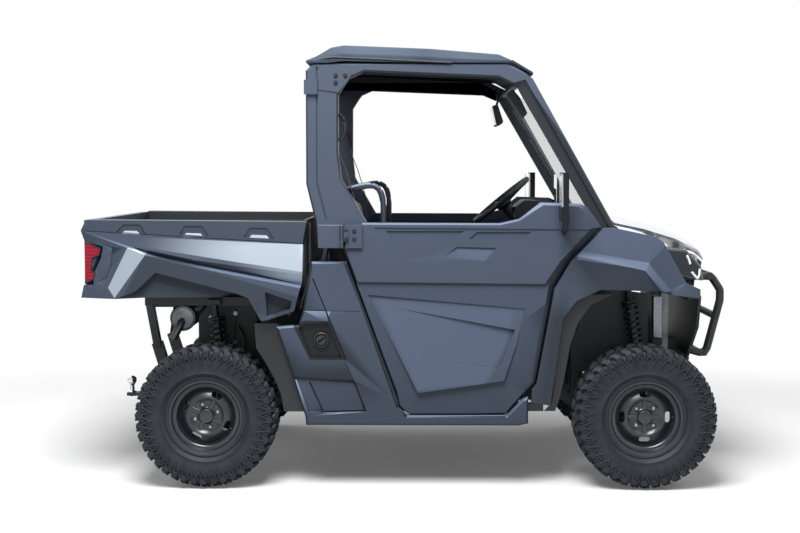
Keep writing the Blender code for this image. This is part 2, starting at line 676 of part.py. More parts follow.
def seat_back(name, side):
    y0, y1 = SEAT_Y - SEAT_WIDTH / 2, SEAT_Y + SEAT_WIDTH / 2
    outline = [(-0.296, 0.806), (-0.230, 0.810), (-0.215, 0.900), (-0.270, 1.300), (-0.330, 1.330),
               (-0.360, 1.300),
               (BULKHEAD_X + SEAT_GAP, SEAT_BASE_Z + 0.26), (BULKHEAD_X + SEAT_GAP, SEAT_BASE_Z + 0.10)]
    return node(name, plate(outline, side * y0, side * y1, 0.02), "seat vinyl")


# rim of the door: x, z, how far it lies behind the face, and the x, z where the face begins
DOOR_RIM = [
    (-0.295, 1.104, 0.008, -0.287, 1.101), (-0.209, 1.213, 0.008, -0.206, 1.205),
    (0.412, 1.211, 0.008, 0.413, 1.203),
    (0.502, 1.231, 0.008, 0.500, 1.223), (0.596, 1.305, 0.010, 0.608, 1.294),
    (0.775, 1.299, 0.012, 0.764, 1.288),
    (0.807, 1.285, 0.018, 0.784, 1.272), (0.870, 1.195, 0.024, 0.822, 1.190),
    (0.728, 1.046, 0.024, 0.684, 1.040),
    (0.653, 0.920, 0.024, 0.620, 0.945), (0.642, 0.856, 0.024, 0.603, 0.838),
    (0.575, 0.487, 0.024, 0.521, 0.490),
    (0.444, 0.345, 0.020, 0.430, 0.366), (0.003, 0.343, 0.010, 0.008, 0.354),
    (-0.038, 0.380, 0.010, -0.028, 0.386),
    (-0.050, 0.440, 0.010, -0.041, 0.442),
]
DOOR_OUTLINE = [row[:2] for row in DOOR_RIM]


def door(name, side):
    """The door shell: chamfered round the front, its lower half set in round a tilted face, with the mirror."""
    face = PANEL_OUTER_Y
    clear = face + 0.06
    panel = rings_shape([
        [(x, side * (PANEL_INNER_Y + 0.002), z) for x, z in DOOR_OUTLINE],
        [(x, side * (face - behind), z) for x, z, behind, face_x, face_z in DOOR_RIM],
        [(face_x, side * face, face_z) for x, z, behind, face_x, face_z in DOOR_RIM],
    ])
    # rows: x, z, how far behind the door's face
    set_in = [(-0.300, 0.947, 0.010), (0.700, 0.937, 0.010), (0.700, 0.300, 0.018), (-0.300, 0.300, 0.018)]
    band = [(-0.155, 1.192, 0.004), (-0.074, 1.071, 0.004), (-0.040, 1.041, 0.004), (0.341, 1.037, 0.004),
            (0.395, 1.091, 0.004), (0.735, 1.096, 0.004), (0.815, 1.184, 0.004)]
    recess = [(-0.101, 1.177, 0.010), (0.251, 1.177, 0.010), (0.138, 1.082, 0.010), (-0.038, 1.082, 0.010)]
    front_recess = [(0.273, 1.141, 0.010), (0.309, 1.173, 0.010), (0.552, 1.173, 0.010),
                    (0.516, 1.137, 0.010)]
    facet = [(0.147, 1.051, 0.003), (0.219, 1.105, 0.011), (0.395, 1.100, 0.011), (0.341, 1.037, 0.003)]
    bulge_outline = [(-0.182, 0.887), (0.527, 0.824), (0.492, 0.670), (0.434, 0.496), (0.044, 0.440)]
    wedge_outline = [(-0.060, 0.828), (0.483, 0.729), (0.416, 0.565), (0.402, 0.551), (0.076, 0.587)]
    bulge = [(x, z, -0.003 + 0.047 * (z - 0.440)) for x, z in bulge_outline]
    wedge = [(x, z, -0.003 + 0.047 * (z - 0.440) + 0.026 * (x + 0.062)) for x, z in wedge_outline]
    cuts = [slab(side, clear, [(x, z, face - behind) for x, z, behind in rows])
            for rows in (set_in, band, recess, front_recess, facet, bulge)]
    panel = carve(panel, cuts)
    raised = slab(side, PANEL_INNER_Y + 0.004, [(x, z, face - behind) for x, z, behind in bulge])
    panel = carve(union([panel, raised]), [slab(side, clear, [(x, z, face - behind) for x, z,
                                                              behind in wedge])])
    inside = plate(inset_outline(DOOR_OUTLINE, 0.045), side * (PANEL_INNER_Y - 0.01),
                   side * (face - 0.024 - DOOR_SKIN))
    panel = carve(panel, [inside])
    mirror_foot = tube([(0.700, side * (PANEL_OUTER_Y - 0.006), 1.170), (0.700, side * 0.790, 1.190),
                        (0.705, side * 0.815, 1.250)], 0.012, 0.02, 8)
    head = side_box(side, (0.672, 0.704), (0.800, 0.900), (1.225, 1.440))
    leaf = side_box(side, (DOOR_HINGE_X + 0.016, -0.209), (PANEL_OUTER_Y - 0.01, PANEL_OUTER_Y + 0.012),
                    (HINGE_LOW_Z, HINGE_HIGH_Z))
    low, high = HINGE_LOW_Z + HINGE_KNUCKLE + SEAT_GAP, HINGE_HIGH_Z - HINGE_KNUCKLE - SEAT_GAP
    tongue = side_box(side, (DOOR_HINGE_X, DOOR_HINGE_X + 0.03), (PANEL_OUTER_Y, DOOR_HINGE_Y), (low, high))
    barrel = turned([(0.0, low), (HINGE_RADIUS, low), (HINGE_RADIUS, high), (0.0, high)],
                    (DOOR_HINGE_X, side * DOOR_HINGE_Y, 0), "Z", 10)
    return node(name, union([panel, leaf, tongue, barrel, mirror_foot, head]), "slate panel",
                (DOOR_HINGE_X, side * DOOR_HINGE_Y, 1.155))


def cab_side(name, side):
    """Panel behind and below the door, with the step and the filler recess."""
    outline = [
        (-0.440, 1.036), (-0.280, 1.036), (-0.244, 0.940), (-0.047, 0.400), (-0.046, 0.372),
        (-0.006, 0.334),
        (0.448, 0.336), (0.520, 0.410), (0.545, 0.420), (0.545, 0.300), (0.500, 0.290), (-0.466, 0.290),
        (-0.470, 0.330), (-0.600, 0.740),
        (-0.500, 0.748), (-0.478, 0.813),
    ]
    panel = plate(outline, side * PANEL_INNER_Y, side * PANEL_OUTER_Y, BEVEL)
    recess = plate([(-0.470, 0.755), (-0.365, 0.762), (-0.300, 0.600), (-0.442, 0.600), (-0.500, 0.738)],
                   side * (PANEL_OUTER_Y - 0.020), side * (PANEL_OUTER_Y + 0.01))
    step = plate([(-0.510, 0.503), (-0.245, 0.490), (-0.198, 0.352), (-0.452, 0.350)],
                 side * (PANEL_OUTER_Y - 0.012), side * (PANEL_OUTER_Y + 0.01))
    cutters = [recess, step]
    if side == RIGHT:
        cutters.append(turned([(0.0, side * 0.690), (0.030, side * 0.690), (0.030, side * 0.760),
                               (0.0, side * 0.760)],
                              (-0.396, 0, 0.681), "Y", 16))
    pads = [side_box(side, (low, high), (ROCKER_Y + ROCKER_SIZE / 2 + SEAT_GAP, PANEL_INNER_Y + 0.005),
                     (RAIL_Z - 0.010, RAIL_Z + 0.012)) for low, high in ((-0.300, -0.260), (0.515, 0.540))]
    return node(name, union([carve(panel, cutters)] + pads), "slate panel")


def rear_liner(name, side):
    """The wheel arch liner in front of the rear tyre: a flange behind the cab side, and a sheet curved round the tyre."""
    outer_y = PANEL_INNER_Y - SEAT_GAP
    curve = [(-0.705, 0.752), (-0.698, 0.640), (-0.655, 0.570), (-0.612, 0.495), (-0.584, 0.420),
             (-0.572, 0.345)]
    flange = plate(curve + [(-0.440, 0.345), (-0.560, 0.735), (-0.600, 0.752)],
                   side * (outer_y - LINER_WALL), side * outer_y)
    sheet = plate(curve + [(x + LINER_WALL, z) for x, z in reversed(curve)], side * 0.500,
                  side * (outer_y - 0.001))
    return node(name, union([flange, sheet]), "dark panel")


def hinge_bracket(name, side):
    """The box bracket round the pillar, with the two outer knuckles of the door's hinge."""
    parts = [side_box(side, (-0.408, DOOR_HINGE_X - 0.006), (CAGE_OUTER_Y + SEAT_GAP, DOOR_HINGE_Y - 0.009),
                      (HINGE_LOW_Z, HINGE_HIGH_Z))]
    for low, high in ((HINGE_LOW_Z, HINGE_LOW_Z + HINGE_KNUCKLE),
                      (HINGE_HIGH_Z - HINGE_KNUCKLE, HINGE_HIGH_Z)):
        parts.append(turned([(0.0, low), (HINGE_RADIUS, low), (HINGE_RADIUS, high), (0.0, high)],
                            (DOOR_HINGE_X, side * DOOR_HINGE_Y, 0), "Z", 10))
        parts.append(side_box(side, (DOOR_HINGE_X - 0.012, DOOR_HINGE_X), (PANEL_OUTER_Y, DOOR_HINGE_Y),
                              (low, high)))
    return node(name, union(parts), "slate panel")


def fuel_cap():
    y = RIGHT * PANEL_OUTER_Y
    return node("fuel_cap", turned([
        (0.0, RIGHT * 0.680), (0.029, RIGHT * 0.680), (0.0297, y + 0.0197), (0.036, y + 0.0197),
        (0.036, y + 0.004),
        (0.030, y), (0.0, y),
    ], (-0.396, 0, 0.681), "Y", 16), "dark panel")


def front_fender(name, side):
    """A creased upper panel, then the flare that stands out over the wheel, and the leg behind it."""
    points = {
        # name: x, z, y
        "a": (0.925, 1.190, 0.728), "b": (1.119, 1.150, 0.720), "c": (1.155, 1.123, 0.714),
        "d": (1.259, 0.941, 0.716),
        "e": (1.324, 0.911, 0.712), "f": (1.324, 0.870, 0.712), "g": (1.194, 0.886, 0.728),
        "h": (1.120, 0.904, 0.735),
        "i": (0.872, 0.911, 0.738), "j": (0.760, 0.860, 0.738), "k": (0.700, 0.780, 0.738),
        "l": (0.657, 0.464, 0.738),
        "m": (0.647, 0.381, 0.736), "n": (0.560, 0.395, 0.736), "o": (0.562, 0.455, 0.736),
        "p": (0.584, 0.487, 0.736),
        "q": (0.651, 0.856, 0.736), "r": (0.662, 0.918, 0.736), "s": (0.737, 1.041, 0.740),
        "t": (0.760, 1.064, 0.754), "u": (0.776, 1.080, 0.744), "v": (0.781, 1.085, 0.734),
        "w": (0.884, 1.190, 0.730),
        # along the crease: foot of the upper panel, top of the flare, its outer edge
        "upper_mid": (1.087, 1.033, 0.732), "upper_end": (1.186, 0.913, 0.722),
        "flare_mid": (1.085, 1.026, 0.746), "flare_end": (1.180, 0.908, 0.736),
        "edge_mid": (1.064, 1.000, 0.757), "edge_end": (1.140, 0.905, 0.748),
    }
    facets = [
        "a b upper_mid v w", "b c d upper_end upper_mid", "d e f g upper_end",
        "upper_mid upper_end flare_end flare_mid",
        "v upper_mid flare_mid u", "u flare_mid edge_mid t", "flare_mid flare_end edge_end edge_mid",
        "upper_end g flare_end", "flare_end g h edge_end", "t edge_mid edge_end h i s", "s i j k q r",
        "k l m n o p q",
    ]
    panel = relief(side, PANEL_INNER_Y, points, facets, "a b c d e f g h i j k l m n o p q r s t u v w")
    deck = plate([(0.955, 1.183), (1.119, 1.148), (1.150, 1.120), (1.140, 1.112), (1.112, 1.136),
                  (0.955, 1.171)],
                 side * 0.505, side * (PANEL_INNER_Y + 0.01))
    pad = side_box(side, (0.890, 0.925), (CAGE_OUTER_Y + SEAT_GAP, PANEL_INNER_Y + 0.005), (1.172, 1.188))
    return node(name, union([panel, deck, pad]), "slate panel")


def headlight(name, side):
    outline = [(1.120, 1.082), (1.172, 1.098), (1.262, 1.090), (1.330, 1.015), (1.340, 0.950),
               (1.280, 0.955),
               (1.120, 0.990)]
    return node(name, plate(outline, side * 0.475, side * (PANEL_INNER_Y - SEAT_GAP), 0.008), "lamp lens")


def hood():
    # stations: x, half width, height at the edge, height at the middle
    stations = [(0.962, 0.500, 1.205, 1.232), (1.100, 0.495, 1.176, 1.208), (1.250, 0.470, 1.130, 1.166),
                (1.380, 0.430, 1.074, 1.112), (1.470, 0.350, 1.030, 1.062)]
    wall = 0.012
    rings = []
    for x, half, edge, middle in stations:
        top = [(x, half * t, edge + (middle - edge) * (1 - t * t)) for t in (-1, -0.75, -0.3, 0.3, 0.75, 1)]
        rings.append(top + [(px, py * 0.985, pz - wall) for px, py, pz in reversed(top)])
    parts = [rings_shape(rings)]
    for side in SIDES.values():
        parts.append(turned([(0.0, side * 0.28), (HINGE_RADIUS, side * 0.28), (HINGE_RADIUS, side * 0.32),
                             (0.0, side * 0.32)], (HOOD_PIVOT.x, 0, HOOD_PIVOT.z), "Y", 10))
        parts.append(side_box(side, (HOOD_PIVOT.x - 0.004, HOOD_PIVOT.x + 0.008), (0.282, 0.318),
                              (HOOD_PIVOT.z, HOOD_PIVOT.z + 0.012)))
    return node("hood", union(parts), "silver panel", HOOD_PIVOT)


def nose():
    """The fascia under the hood, with the grille opening."""
    back_x = FRONT_POST_X + CROSS_SIZE / 2 + SEAT_GAP
    outline = [(1.382, 1.050), (1.462, 1.014), (1.455, 0.996), (1.402, 0.984), (1.385, 0.900),
               (back_x, 0.886),
               (back_x, 0.898), (1.368, 0.915), (1.385, 0.992), (1.425, 1.006), (1.380, 1.030)]
    return node("nose", plate(outline, -0.395, 0.395), "dark panel")


def bull_bar():
    """Two bent side tubes and three cross tubes, bolted to the frame's front cross members."""
    front = FRONT_END_X - BAR_RADIUS * math.cos(math.pi / 8)
    start_x = FRONT_POST_X + CROSS_SIZE / 2 + SEAT_GAP
    parts = []
    for side in SIDES.values():
        y = side * BAR_Y
        parts.append(tube([
            (start_x, y, 0.949), (front - 0.042, y, 0.949), (front, y, 0.885), (front, y, 0.835),
            (front - 0.065, y, 0.576), (front - 0.147, y, 0.600),
        ], BAR_RADIUS, 0.03, 8, 2))
    for behind, z, past in ((0.052, 0.952, 0.030), (0.022, 0.760, 0.005), (0.102, 0.588, 0.005)):
        half = BAR_Y + past
        parts.append(tube([(front - behind, -half, z), (front - behind, half, z)], BAR_RADIUS - 0.0015,
                          sides=8))
    return node("bull_bar", union(parts), "black steel")


def skid_plate():
    outline = [(SKID_X, 0.840), (1.400, 0.850), (1.390, 0.700), (1.345, 0.560), (1.345, 0.540),
               (SKID_X, 0.540),
               (SKID_X, 0.560), (1.372, 0.700), (1.382, 0.836), (SKID_X, 0.828)]
    return node("skid_plate", plate(outline, -0.380, 0.380), "dark panel")


def radiator():
    return node("radiator", box((1.222, -0.300, RADIATOR_Z), (1.257, 0.300, 0.860)), "cast aluminium")


def engine():
    return node("engine", box((-0.790, -0.190, RAIL_Z + RAIL_SIZE / 2 + SEAT_GAP), (-0.440, 0.190, 0.780)),
                "cast aluminium")


def drive_unit(name, axle_x, shaft_end, body_x, body_half):
    """Differential case with a half shaft to each side."""
    base_z = AXLE_RAIL_Z + CROSS_SIZE / 2 + SEAT_GAP
    parts = [box((body_x[0], -body_half, base_z), (body_x[1], body_half, 0.470))]
    parts.append(tube([(axle_x, -shaft_end, AXLE_Z), (axle_x, shaft_end, AXLE_Z)], 0.014, sides=8))
    return node(name, union(parts), "black steel")


def muffler():
    y = -0.350
    parts = [tube([(-1.094, -0.36, 0.737), (-1.094, 0.10, 0.737)], 0.060, sides=14),
             tube([(-1.094, y + 0.03, 0.737), (-1.110, y + 0.01, 0.70), (-1.135, y - 0.02, 0.640)],
                  0.020, 0.03, 8),
             box((-1.255, -0.300, 0.785), (-1.080, -0.270, REAR_DECK_Z - CROSS_SIZE / 2 - SEAT_GAP))]
    return node("muffler", union(parts), "bright steel")


def hitch():
    front_x = HITCH_CROSS_X - CROSS_SIZE / 2 - SEAT_GAP
    parts = [box((-1.360, -0.032, HITCH_Z - 0.025), (front_x, 0.032, HITCH_Z + 0.025)),
             box((-1.445, -0.030, HITCH_Z - 0.020), (-1.350, 0.030, HITCH_Z - 0.002)),
             turned([(0.0, 0.301), (0.012, 0.301), (0.012, 0.350), (0.0238, 0.370), (0.0238, 0.386),
                     (0.0, 0.402)],
                    (-1.423, 0, 0), "Z", 12)]
    return node("hitch", union(parts), "black steel")


def suspension_front(name, side):
    """The lower wishbone, with the tray that holds the shock and the ball joint under the knuckle."""
    parts = [tube([(FRONT_AXLE_X + sign * 0.17, side * 0.232, 0.300),
                   (FRONT_AXLE_X + sign * 0.012, side * 0.600, 0.231)], 0.015, sides=8) for sign in (-1, 1)]
    parts.append(side_box(side, (FRONT_AXLE_X - 0.02, FRONT_AXLE_X + 0.10), (0.405, 0.475),
                          (0.252, FRONT_TRAY_Z)))
    parts.append(tube([(FRONT_AXLE_X - 0.15, side * 0.27, 0.294),
                       (FRONT_AXLE_X + 0.15, side * 0.27, 0.294)],
                      0.012, sides=8))
    parts.append(turned([(0.0, 0.222), (0.022, 0.222), (0.022, 0.250), (0.0, 0.250)],
                        (FRONT_AXLE_X, side * KINGPIN_Y, 0), "Z", 12))
    return node(name, union(parts), "black steel")


def knuckle(name, side, parent):
    """The steered upright between the ball joints, with the stub that the wheel's hub turns on."""
    rim_inner = WHEEL_OUTER_Y - FRONT_TYRE_WIDTH / 2 + FRONT_RIM_WIDTH / 2 - DISH_DEPTH - RIM_WALL
    y = KINGPIN_Y
    parts = [
        side_box(side, (FRONT_AXLE_X - 0.024, FRONT_AXLE_X + 0.024), (y - 0.022, y + 0.022),
                 (0.2503, KNUCKLE_TOP_Z)),
        turned([(0.0, side * (y - 0.030)), (0.045, side * (y - 0.030)),
                (0.045, side * (rim_inner - SEAT_GAP)),
                (0.0, side * (rim_inner - SEAT_GAP))], (FRONT_AXLE_X, 0, AXLE_Z), "Y", 16),
        side_box(side, (FRONT_AXLE_X - STEER_ARM - 0.012, FRONT_AXLE_X), (y - 0.060, y - 0.020),
                 (AXLE_Z + 0.020, AXLE_Z + 0.036)),
    ]
    return node(name, union(parts), "black steel", (FRONT_AXLE_X, side * y, AXLE_Z), parent)


def suspension_rear(name, side):
    """Lower and upper arms with the upright that carries the wheel's stub."""
    rim_inner = WHEEL_OUTER_Y - REAR_TYRE_WIDTH / 2 + REAR_RIM_WIDTH / 2 - DISH_DEPTH - RIM_WALL
    x = REAR_AXLE_X
    parts = []
    for sign in (-1, 1):
        parts.append(tube([(x + sign * 0.16, side * 0.232, 0.320), (x + sign * 0.02, side * 0.590, 0.250)],
                          0.016, sides=8))
    parts.append(side_box(side, (x - 0.030, x + 0.030), (0.575, 0.620), (0.235, 0.430)))
    parts.append(turned([(0.0, side * 0.560), (0.045, side * 0.560), (0.045, side * (rim_inner - SEAT_GAP)),
                         (0.0, side * (rim_inner - SEAT_GAP))], (x, 0, AXLE_Z), "Y", 16))
    parts.append(side_box(side, (x, x + 0.095), (0.408, 0.472), (0.258, REAR_TRAY_Z)))
    return node(name, union(parts), "black steel")


def shock(name, side, top, bottom):
    """A damper in its coil spring: the coil as stacked rings on the damper body."""
    top = Vector((top[0], side * top[1], top[2]))
    bottom = Vector((bottom[0], side * bottom[1], bottom[2]))
    along = (bottom - top).normalized()
    across = along.cross(Vector((0, 1, 0))).normalized()
    up = along.cross(across)
    length = (bottom - top).length
    coil_start, coil_end, turns, radius, wire = 0.06, length - 0.06, 7, 0.030, 0.006
    profile = [(0.0, 0.0), (0.012, 0.0), (0.012, 0.04), (radius + wire, 0.05), (radius + wire, coil_start)]
    pitch = (coil_end - coil_start) / turns
    for k in range(turns):
        start = coil_start + k * pitch
        profile += [(radius - 0.008, start + pitch * 0.3), (radius + wire, start + pitch * 0.75)]
    profile += [(0.016, length - 0.05), (0.016, length), (0.0, length)]
    return node(name, turned_about(profile, top, (across, up, along), 8), "black steel")


def bed():
    """The cargo tub: floor, front wall and side walls, open at the rear where the tailgate closes it."""
    w, wall = BED_HALF_WIDTH, BED_WALL
    floor_z, top_z = BED_FLOOR_Z, BED_TOP_Z
    outer = box((BED_REAR_X, -w, floor_z - wall), (BED_FRONT_X, w, top_z))
    inner = box((BED_REAR_X - 0.05, -w + wall, floor_z), (BED_FRONT_X - wall, w - wall, top_z + 0.05))
    tub = carve(outer, [inner])
    parts = [tub]
    for side in SIDES.values():
        parts.append(side_box(side, (BED_PIVOT.x + 0.005, -0.490), (0.300, 0.340),
                              (REAR_DECK_Z + CROSS_SIZE / 2 + SEAT_GAP, floor_z - wall + 0.004)))
        parts.append(turned([(0.0, side * 0.31), (0.012, side * 0.31), (0.012, side * (EAR_Y - SEAT_GAP)),
                             (0.0, side * (EAR_Y - SEAT_GAP))], (BED_PIVOT.x, 0, BED_PIVOT.z), "Y", 10))
        parts.append(side_box(side, (TAILGATE_PIVOT.x, BED_REAR_X + 0.010),
                              (BED_HINGE_START, BED_HINGE_END),
                              (TAILGATE_PIVOT.z - HINGE_RADIUS, BED_FLOOR_Z)))
        start, end = side * BED_HINGE_START, side * BED_HINGE_END
        parts.append(turned([(0.0, start), (HINGE_RADIUS, start), (HINGE_RADIUS, end), (0.0, end)],
                            (TAILGATE_PIVOT.x, 0, TAILGATE_PIVOT.z), "Y", 10))
    for x in (-1.30, -0.95, -0.60):
        parts.append(box((x - 0.02, -w + 0.02, floor_z - wall - 0.018),
                         (x + 0.02, w - 0.02, floor_z - wall + 0.004)))
    return node("bed", union(parts), "dark panel", BED_PIVOT)


def bed_side(name, side, parent):
    """The bed's side moulding: rail along the top, tapered panel, slanted stripe, and flare over the wheel."""
    w, rear = BED_HALF_WIDTH, REAR_END_X
    points = {
        # name: x, z, y
        "a": (rear + 0.033, 1.226, w + 0.095), "b": (-0.462, 1.218, w + 0.095),
        "c": (-0.478, 1.122, w + 0.101),
        "d": (-0.480, 0.978, w + 0.106), "e": (-0.486, 0.930, w + 0.084), "f": (-0.490, 0.918, w + 0.105),
        "g": (-0.519, 0.812, w + 0.105), "h": (-0.641, 0.771, w + 0.105), "i": (-0.669, 0.767, w + 0.105),
        "j": (-0.728, 0.873, w + 0.107), "k": (-0.778, 0.891, w + 0.107), "l": (-0.860, 0.873, w + 0.072),
        "m": (-1.200, 0.870, w + 0.072), "n": (-1.332, 0.867, w + 0.105), "o": (-1.372, 0.868, w + 0.102),
        "p": (rear + 0.007, 0.872, w + 0.095), "q": (rear + 0.022, 0.941, w + 0.095),
        "r": (rear + 0.055, 0.996, w + 0.095), "s": (rear + 0.025, 1.133, w + 0.095),
        "t": (rear + 0.010, 1.178, w + 0.098),
        # edge of the arch, and the lip under it
        "arch_low": (-1.240, 0.900, w + 0.107), "arch_rear": (-1.147, 0.987, w + 0.107),
        "arch_mid": (-1.111, 0.978, w + 0.107), "lip_low": (-1.228, 0.894, w + 0.072),
        "lip_rear": (-1.143, 0.979, w + 0.072), "lip_mid": (-1.112, 0.971, w + 0.072),
        "lip_front": (-0.790, 0.887, w + 0.072),
        # foot of the tapered panel, and the valley above the flare
        "taper_rear": (-1.255, 1.104, w + 0.098), "taper_mid": (-0.973, 1.045, w + 0.106),
        "valley_rear": (-1.180, 1.072, w + 0.084), "valley_mid": (-1.020, 1.036, w + 0.084),
        "flare_mid": (-1.024, 1.024, w + 0.106),
        # corners of the slanted stripe
        "stripe_top": (-1.278, 1.101, w + 0.103), "stripe_front": (-1.196, 1.070, w + 0.108),
        "stripe_low": (-1.372, 0.918, w + 0.102),
    }
    facets = [
        "a b c t", "t c d taper_mid taper_rear stripe_top s", "s stripe_top stripe_low o p q r",
        "stripe_top stripe_front n stripe_low", "stripe_low n o",
        "taper_rear taper_mid valley_mid valley_rear",
        "taper_mid d e valley_mid", "stripe_top taper_rear valley_rear stripe_front",
        "valley_rear valley_mid flare_mid stripe_front", "valley_mid e f flare_mid",
        "stripe_front flare_mid f g h i j k arch_mid arch_rear arch_low n",
        "arch_low arch_rear lip_rear lip_low", "arch_rear arch_mid lip_mid lip_rear",
        "arch_mid k lip_front lip_mid",
        "k l lip_front", "n arch_low lip_low m", "lip_low lip_rear lip_mid lip_front l m",
    ]
    panel = relief(side, w + SEAT_GAP, points, facets, "a b c d e f g h i j k l m n o p q r s t")
    notch = plate([(rear - 0.055, 1.150), (rear + 0.110, 1.105), (rear + 0.100, 1.055),
                   (rear + 0.065, 0.980),
                   (rear + 0.065, 0.930), (rear - 0.055, 0.930)], side * (w - 0.04), side * (w + 0.16))
    vent = plate([(-0.650, 0.900), (-0.530, 0.858), (-0.536, 0.822), (-0.640, 0.786)],
                 side * (w + 0.060), side * (w + 0.16))
    return node(name, carve(panel, [notch, vent]), "slate panel", BED_PIVOT, parent)


def tail_lamp(name, side, parent):
    w, rear = BED_HALF_WIDTH, REAR_END_X
    outline = [(rear + 0.025, 1.126), (rear + 0.101, 1.100), (rear + 0.092, 1.056), (rear + 0.059, 0.982),
               (rear + 0.059, 0.934), (rear + 0.022, 0.934)]
    return node(name, plate(outline, side * (w + SEAT_GAP), side * (w + 0.100), 0.010), "red lens",
                BED_PIVOT, parent)


def tailgate(parent):
    w = BED_HALF_WIDTH - 0.006
    parts = [box((REAR_END_X, -w, 0.935), (REAR_END_X + TAILGATE_THICK, w, BED_TOP_Z))]
    start, end = BED_HINGE_END + SEAT_GAP, BED_HINGE_END + 0.050
    for side in SIDES.values():
        parts.append(turned([(0.0, side * start), (HINGE_RADIUS, side * start), (HINGE_RADIUS, side * end),
                             (0.0, side * end)], (TAILGATE_PIVOT.x, 0, TAILGATE_PIVOT.z), "Y", 10))
        parts.append(side_box(side, (TAILGATE_PIVOT.x - 0.006, TAILGATE_PIVOT.x + 0.006),
                              (start + 0.002, end - 0.002),
                              (TAILGATE_PIVOT.z, 0.940)))
    return node("tailgate", union(parts), "slate panel", TAILGATE_PIVOT, parent)


def build():
    for obj in list(bpy.data.objects):
        bpy.data.objects.remove(obj)
    chassis()
    cage()
    roof()
    windshield()
    cab_tub()
    dashboard()
    steering_wheel()
    hood()
    nose()
    bull_bar()
    skid_plate()
    radiator()
    engine()
    muffler()
    hitch()
    fuel_cap()
    drive_unit("front_drive", FRONT_AXLE_X, 0.520, (0.98, 1.16), 0.090)
    drive_unit("rear_drive", REAR_AXLE_X, 0.500, (-1.04, -0.80), 0.130)
    bed_tub = bed()
    tailgate(bed_tub)
    for word, side in SIDES.items():
        door("door_" + word, side)
        hinge_bracket("hinge_bracket_" + word, side)
        rear_liner("rear_liner_" + word, side)
        cab_side("cab_side_" + word, side)
        front_fender("front_fender_" + word, side)
        headlight("headlight_" + word, side)
        seat_cushion("seat_cushion_" + word, side)
        seat_back("seat_back_" + word, side)
        suspension_front("front_arm_" + word, side)
        suspension_rear("rear_arm_" + word, side)
        shock("front_shock_" + word, side, (1.045, 0.400, FRONT_DECK_Z - SHOCK_MOUNT - 0.0025),
              (1.125, 0.440, FRONT_TRAY_Z + 0.0035))
        shock("rear_shock_" + word, side, (REAR_AXLE_X, 0.440, REAR_DECK_Z - SHOCK_MOUNT - 0.0018),
              (REAR_AXLE_X + 0.060, 0.440, REAR_TRAY_Z + 0.0022))
        bed_side("bed_side_" + word, side, bed_tub)
        tail_lamp("tail_lamp_" + word, side, bed_tub)
        steered = knuckle("knuckle_" + word, side, None)
        hub = joint_empty("front_hub_" + word, (FRONT_AXLE_X,
                                                side * (WHEEL_OUTER_Y - FRONT_TYRE_WIDTH / 2), AXLE_Z),
                          steered)
        tyre("front_tyre_" + word, FRONT_AXLE_X, side, FRONT_TYRE_WIDTH, FRONT_RIM_WIDTH, hub)
        rim("front_rim_" + word, FRONT_AXLE_X, side, FRONT_TYRE_WIDTH, FRONT_RIM_WIDTH, 0.0, hub)
        tyre("rear_tyre_" + word, REAR_AXLE_X, side, REAR_TYRE_WIDTH, REAR_RIM_WIDTH, None)
        rim("rear_rim_" + word, REAR_AXLE_X, side, REAR_TYRE_WIDTH, REAR_RIM_WIDTH, 63.0, None)


build()
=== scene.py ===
import json
import math

import bmesh
import bpy
from mathutils import Matrix, Vector


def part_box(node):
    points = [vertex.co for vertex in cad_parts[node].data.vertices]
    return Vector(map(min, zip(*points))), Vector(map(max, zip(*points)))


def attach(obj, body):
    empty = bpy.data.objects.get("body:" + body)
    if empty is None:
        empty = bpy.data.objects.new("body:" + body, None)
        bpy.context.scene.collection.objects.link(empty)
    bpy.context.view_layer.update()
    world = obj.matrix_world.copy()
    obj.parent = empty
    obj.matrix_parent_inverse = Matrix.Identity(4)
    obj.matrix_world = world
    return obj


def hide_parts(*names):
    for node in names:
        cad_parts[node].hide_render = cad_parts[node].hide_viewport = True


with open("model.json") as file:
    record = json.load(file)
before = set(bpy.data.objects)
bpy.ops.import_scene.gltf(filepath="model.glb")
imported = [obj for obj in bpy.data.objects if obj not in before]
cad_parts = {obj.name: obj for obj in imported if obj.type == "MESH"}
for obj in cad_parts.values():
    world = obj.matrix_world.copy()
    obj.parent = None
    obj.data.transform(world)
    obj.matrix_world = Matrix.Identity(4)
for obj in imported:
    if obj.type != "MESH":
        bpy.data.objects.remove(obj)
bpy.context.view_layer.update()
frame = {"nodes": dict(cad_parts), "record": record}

right, left = -1, 1
sides = {"right": right, "left": left}
record = frame["record"]


# Selecting and editing, as by hand

def only(*objs):
    if bpy.context.mode != "OBJECT":
        bpy.ops.object.mode_set(mode="OBJECT")
    bpy.ops.object.select_all(action="DESELECT")
    for obj in objs:
        obj.select_set(True)
    bpy.context.view_layer.objects.active = objs[0]


def pickIn(obj, kind, test):
    # opens the piece in edit mode with the verts, edges or faces that pass the test selected
    only(obj)
    bpy.ops.object.mode_set(mode="EDIT")
    bpy.ops.mesh.select_mode(type=kind)
    bpy.ops.mesh.select_all(action="DESELECT")
    mesh = bmesh.from_edit_mesh(obj.data)
    mesh.normal_update()
    for item in {"VERT": mesh.verts, "EDGE": mesh.edges, "FACE": mesh.faces}[kind]:
        if test(item):
            item.select_set(True)
    mesh.select_flush_mode()
    bmesh.update_edit_mesh(obj.data)


def closeEdit(outward=False):
    if outward:
        bpy.ops.mesh.select_all(action="SELECT")
        bpy.ops.mesh.normals_make_consistent(inside=False)
    bpy.ops.object.mode_set(mode="OBJECT")


def modify(obj, kind, **settings):
    only(obj)
    modifier = obj.modifiers.new(kind.lower(), kind)
    for name, value in settings.items():
        setattr(modifier, name, value)
    bpy.ops.object.modifier_apply(modifier=modifier.name)


def smooth(obj, degrees=35):
    only(obj)
    bpy.ops.object.shade_smooth_by_angle(angle=math.radians(degrees))


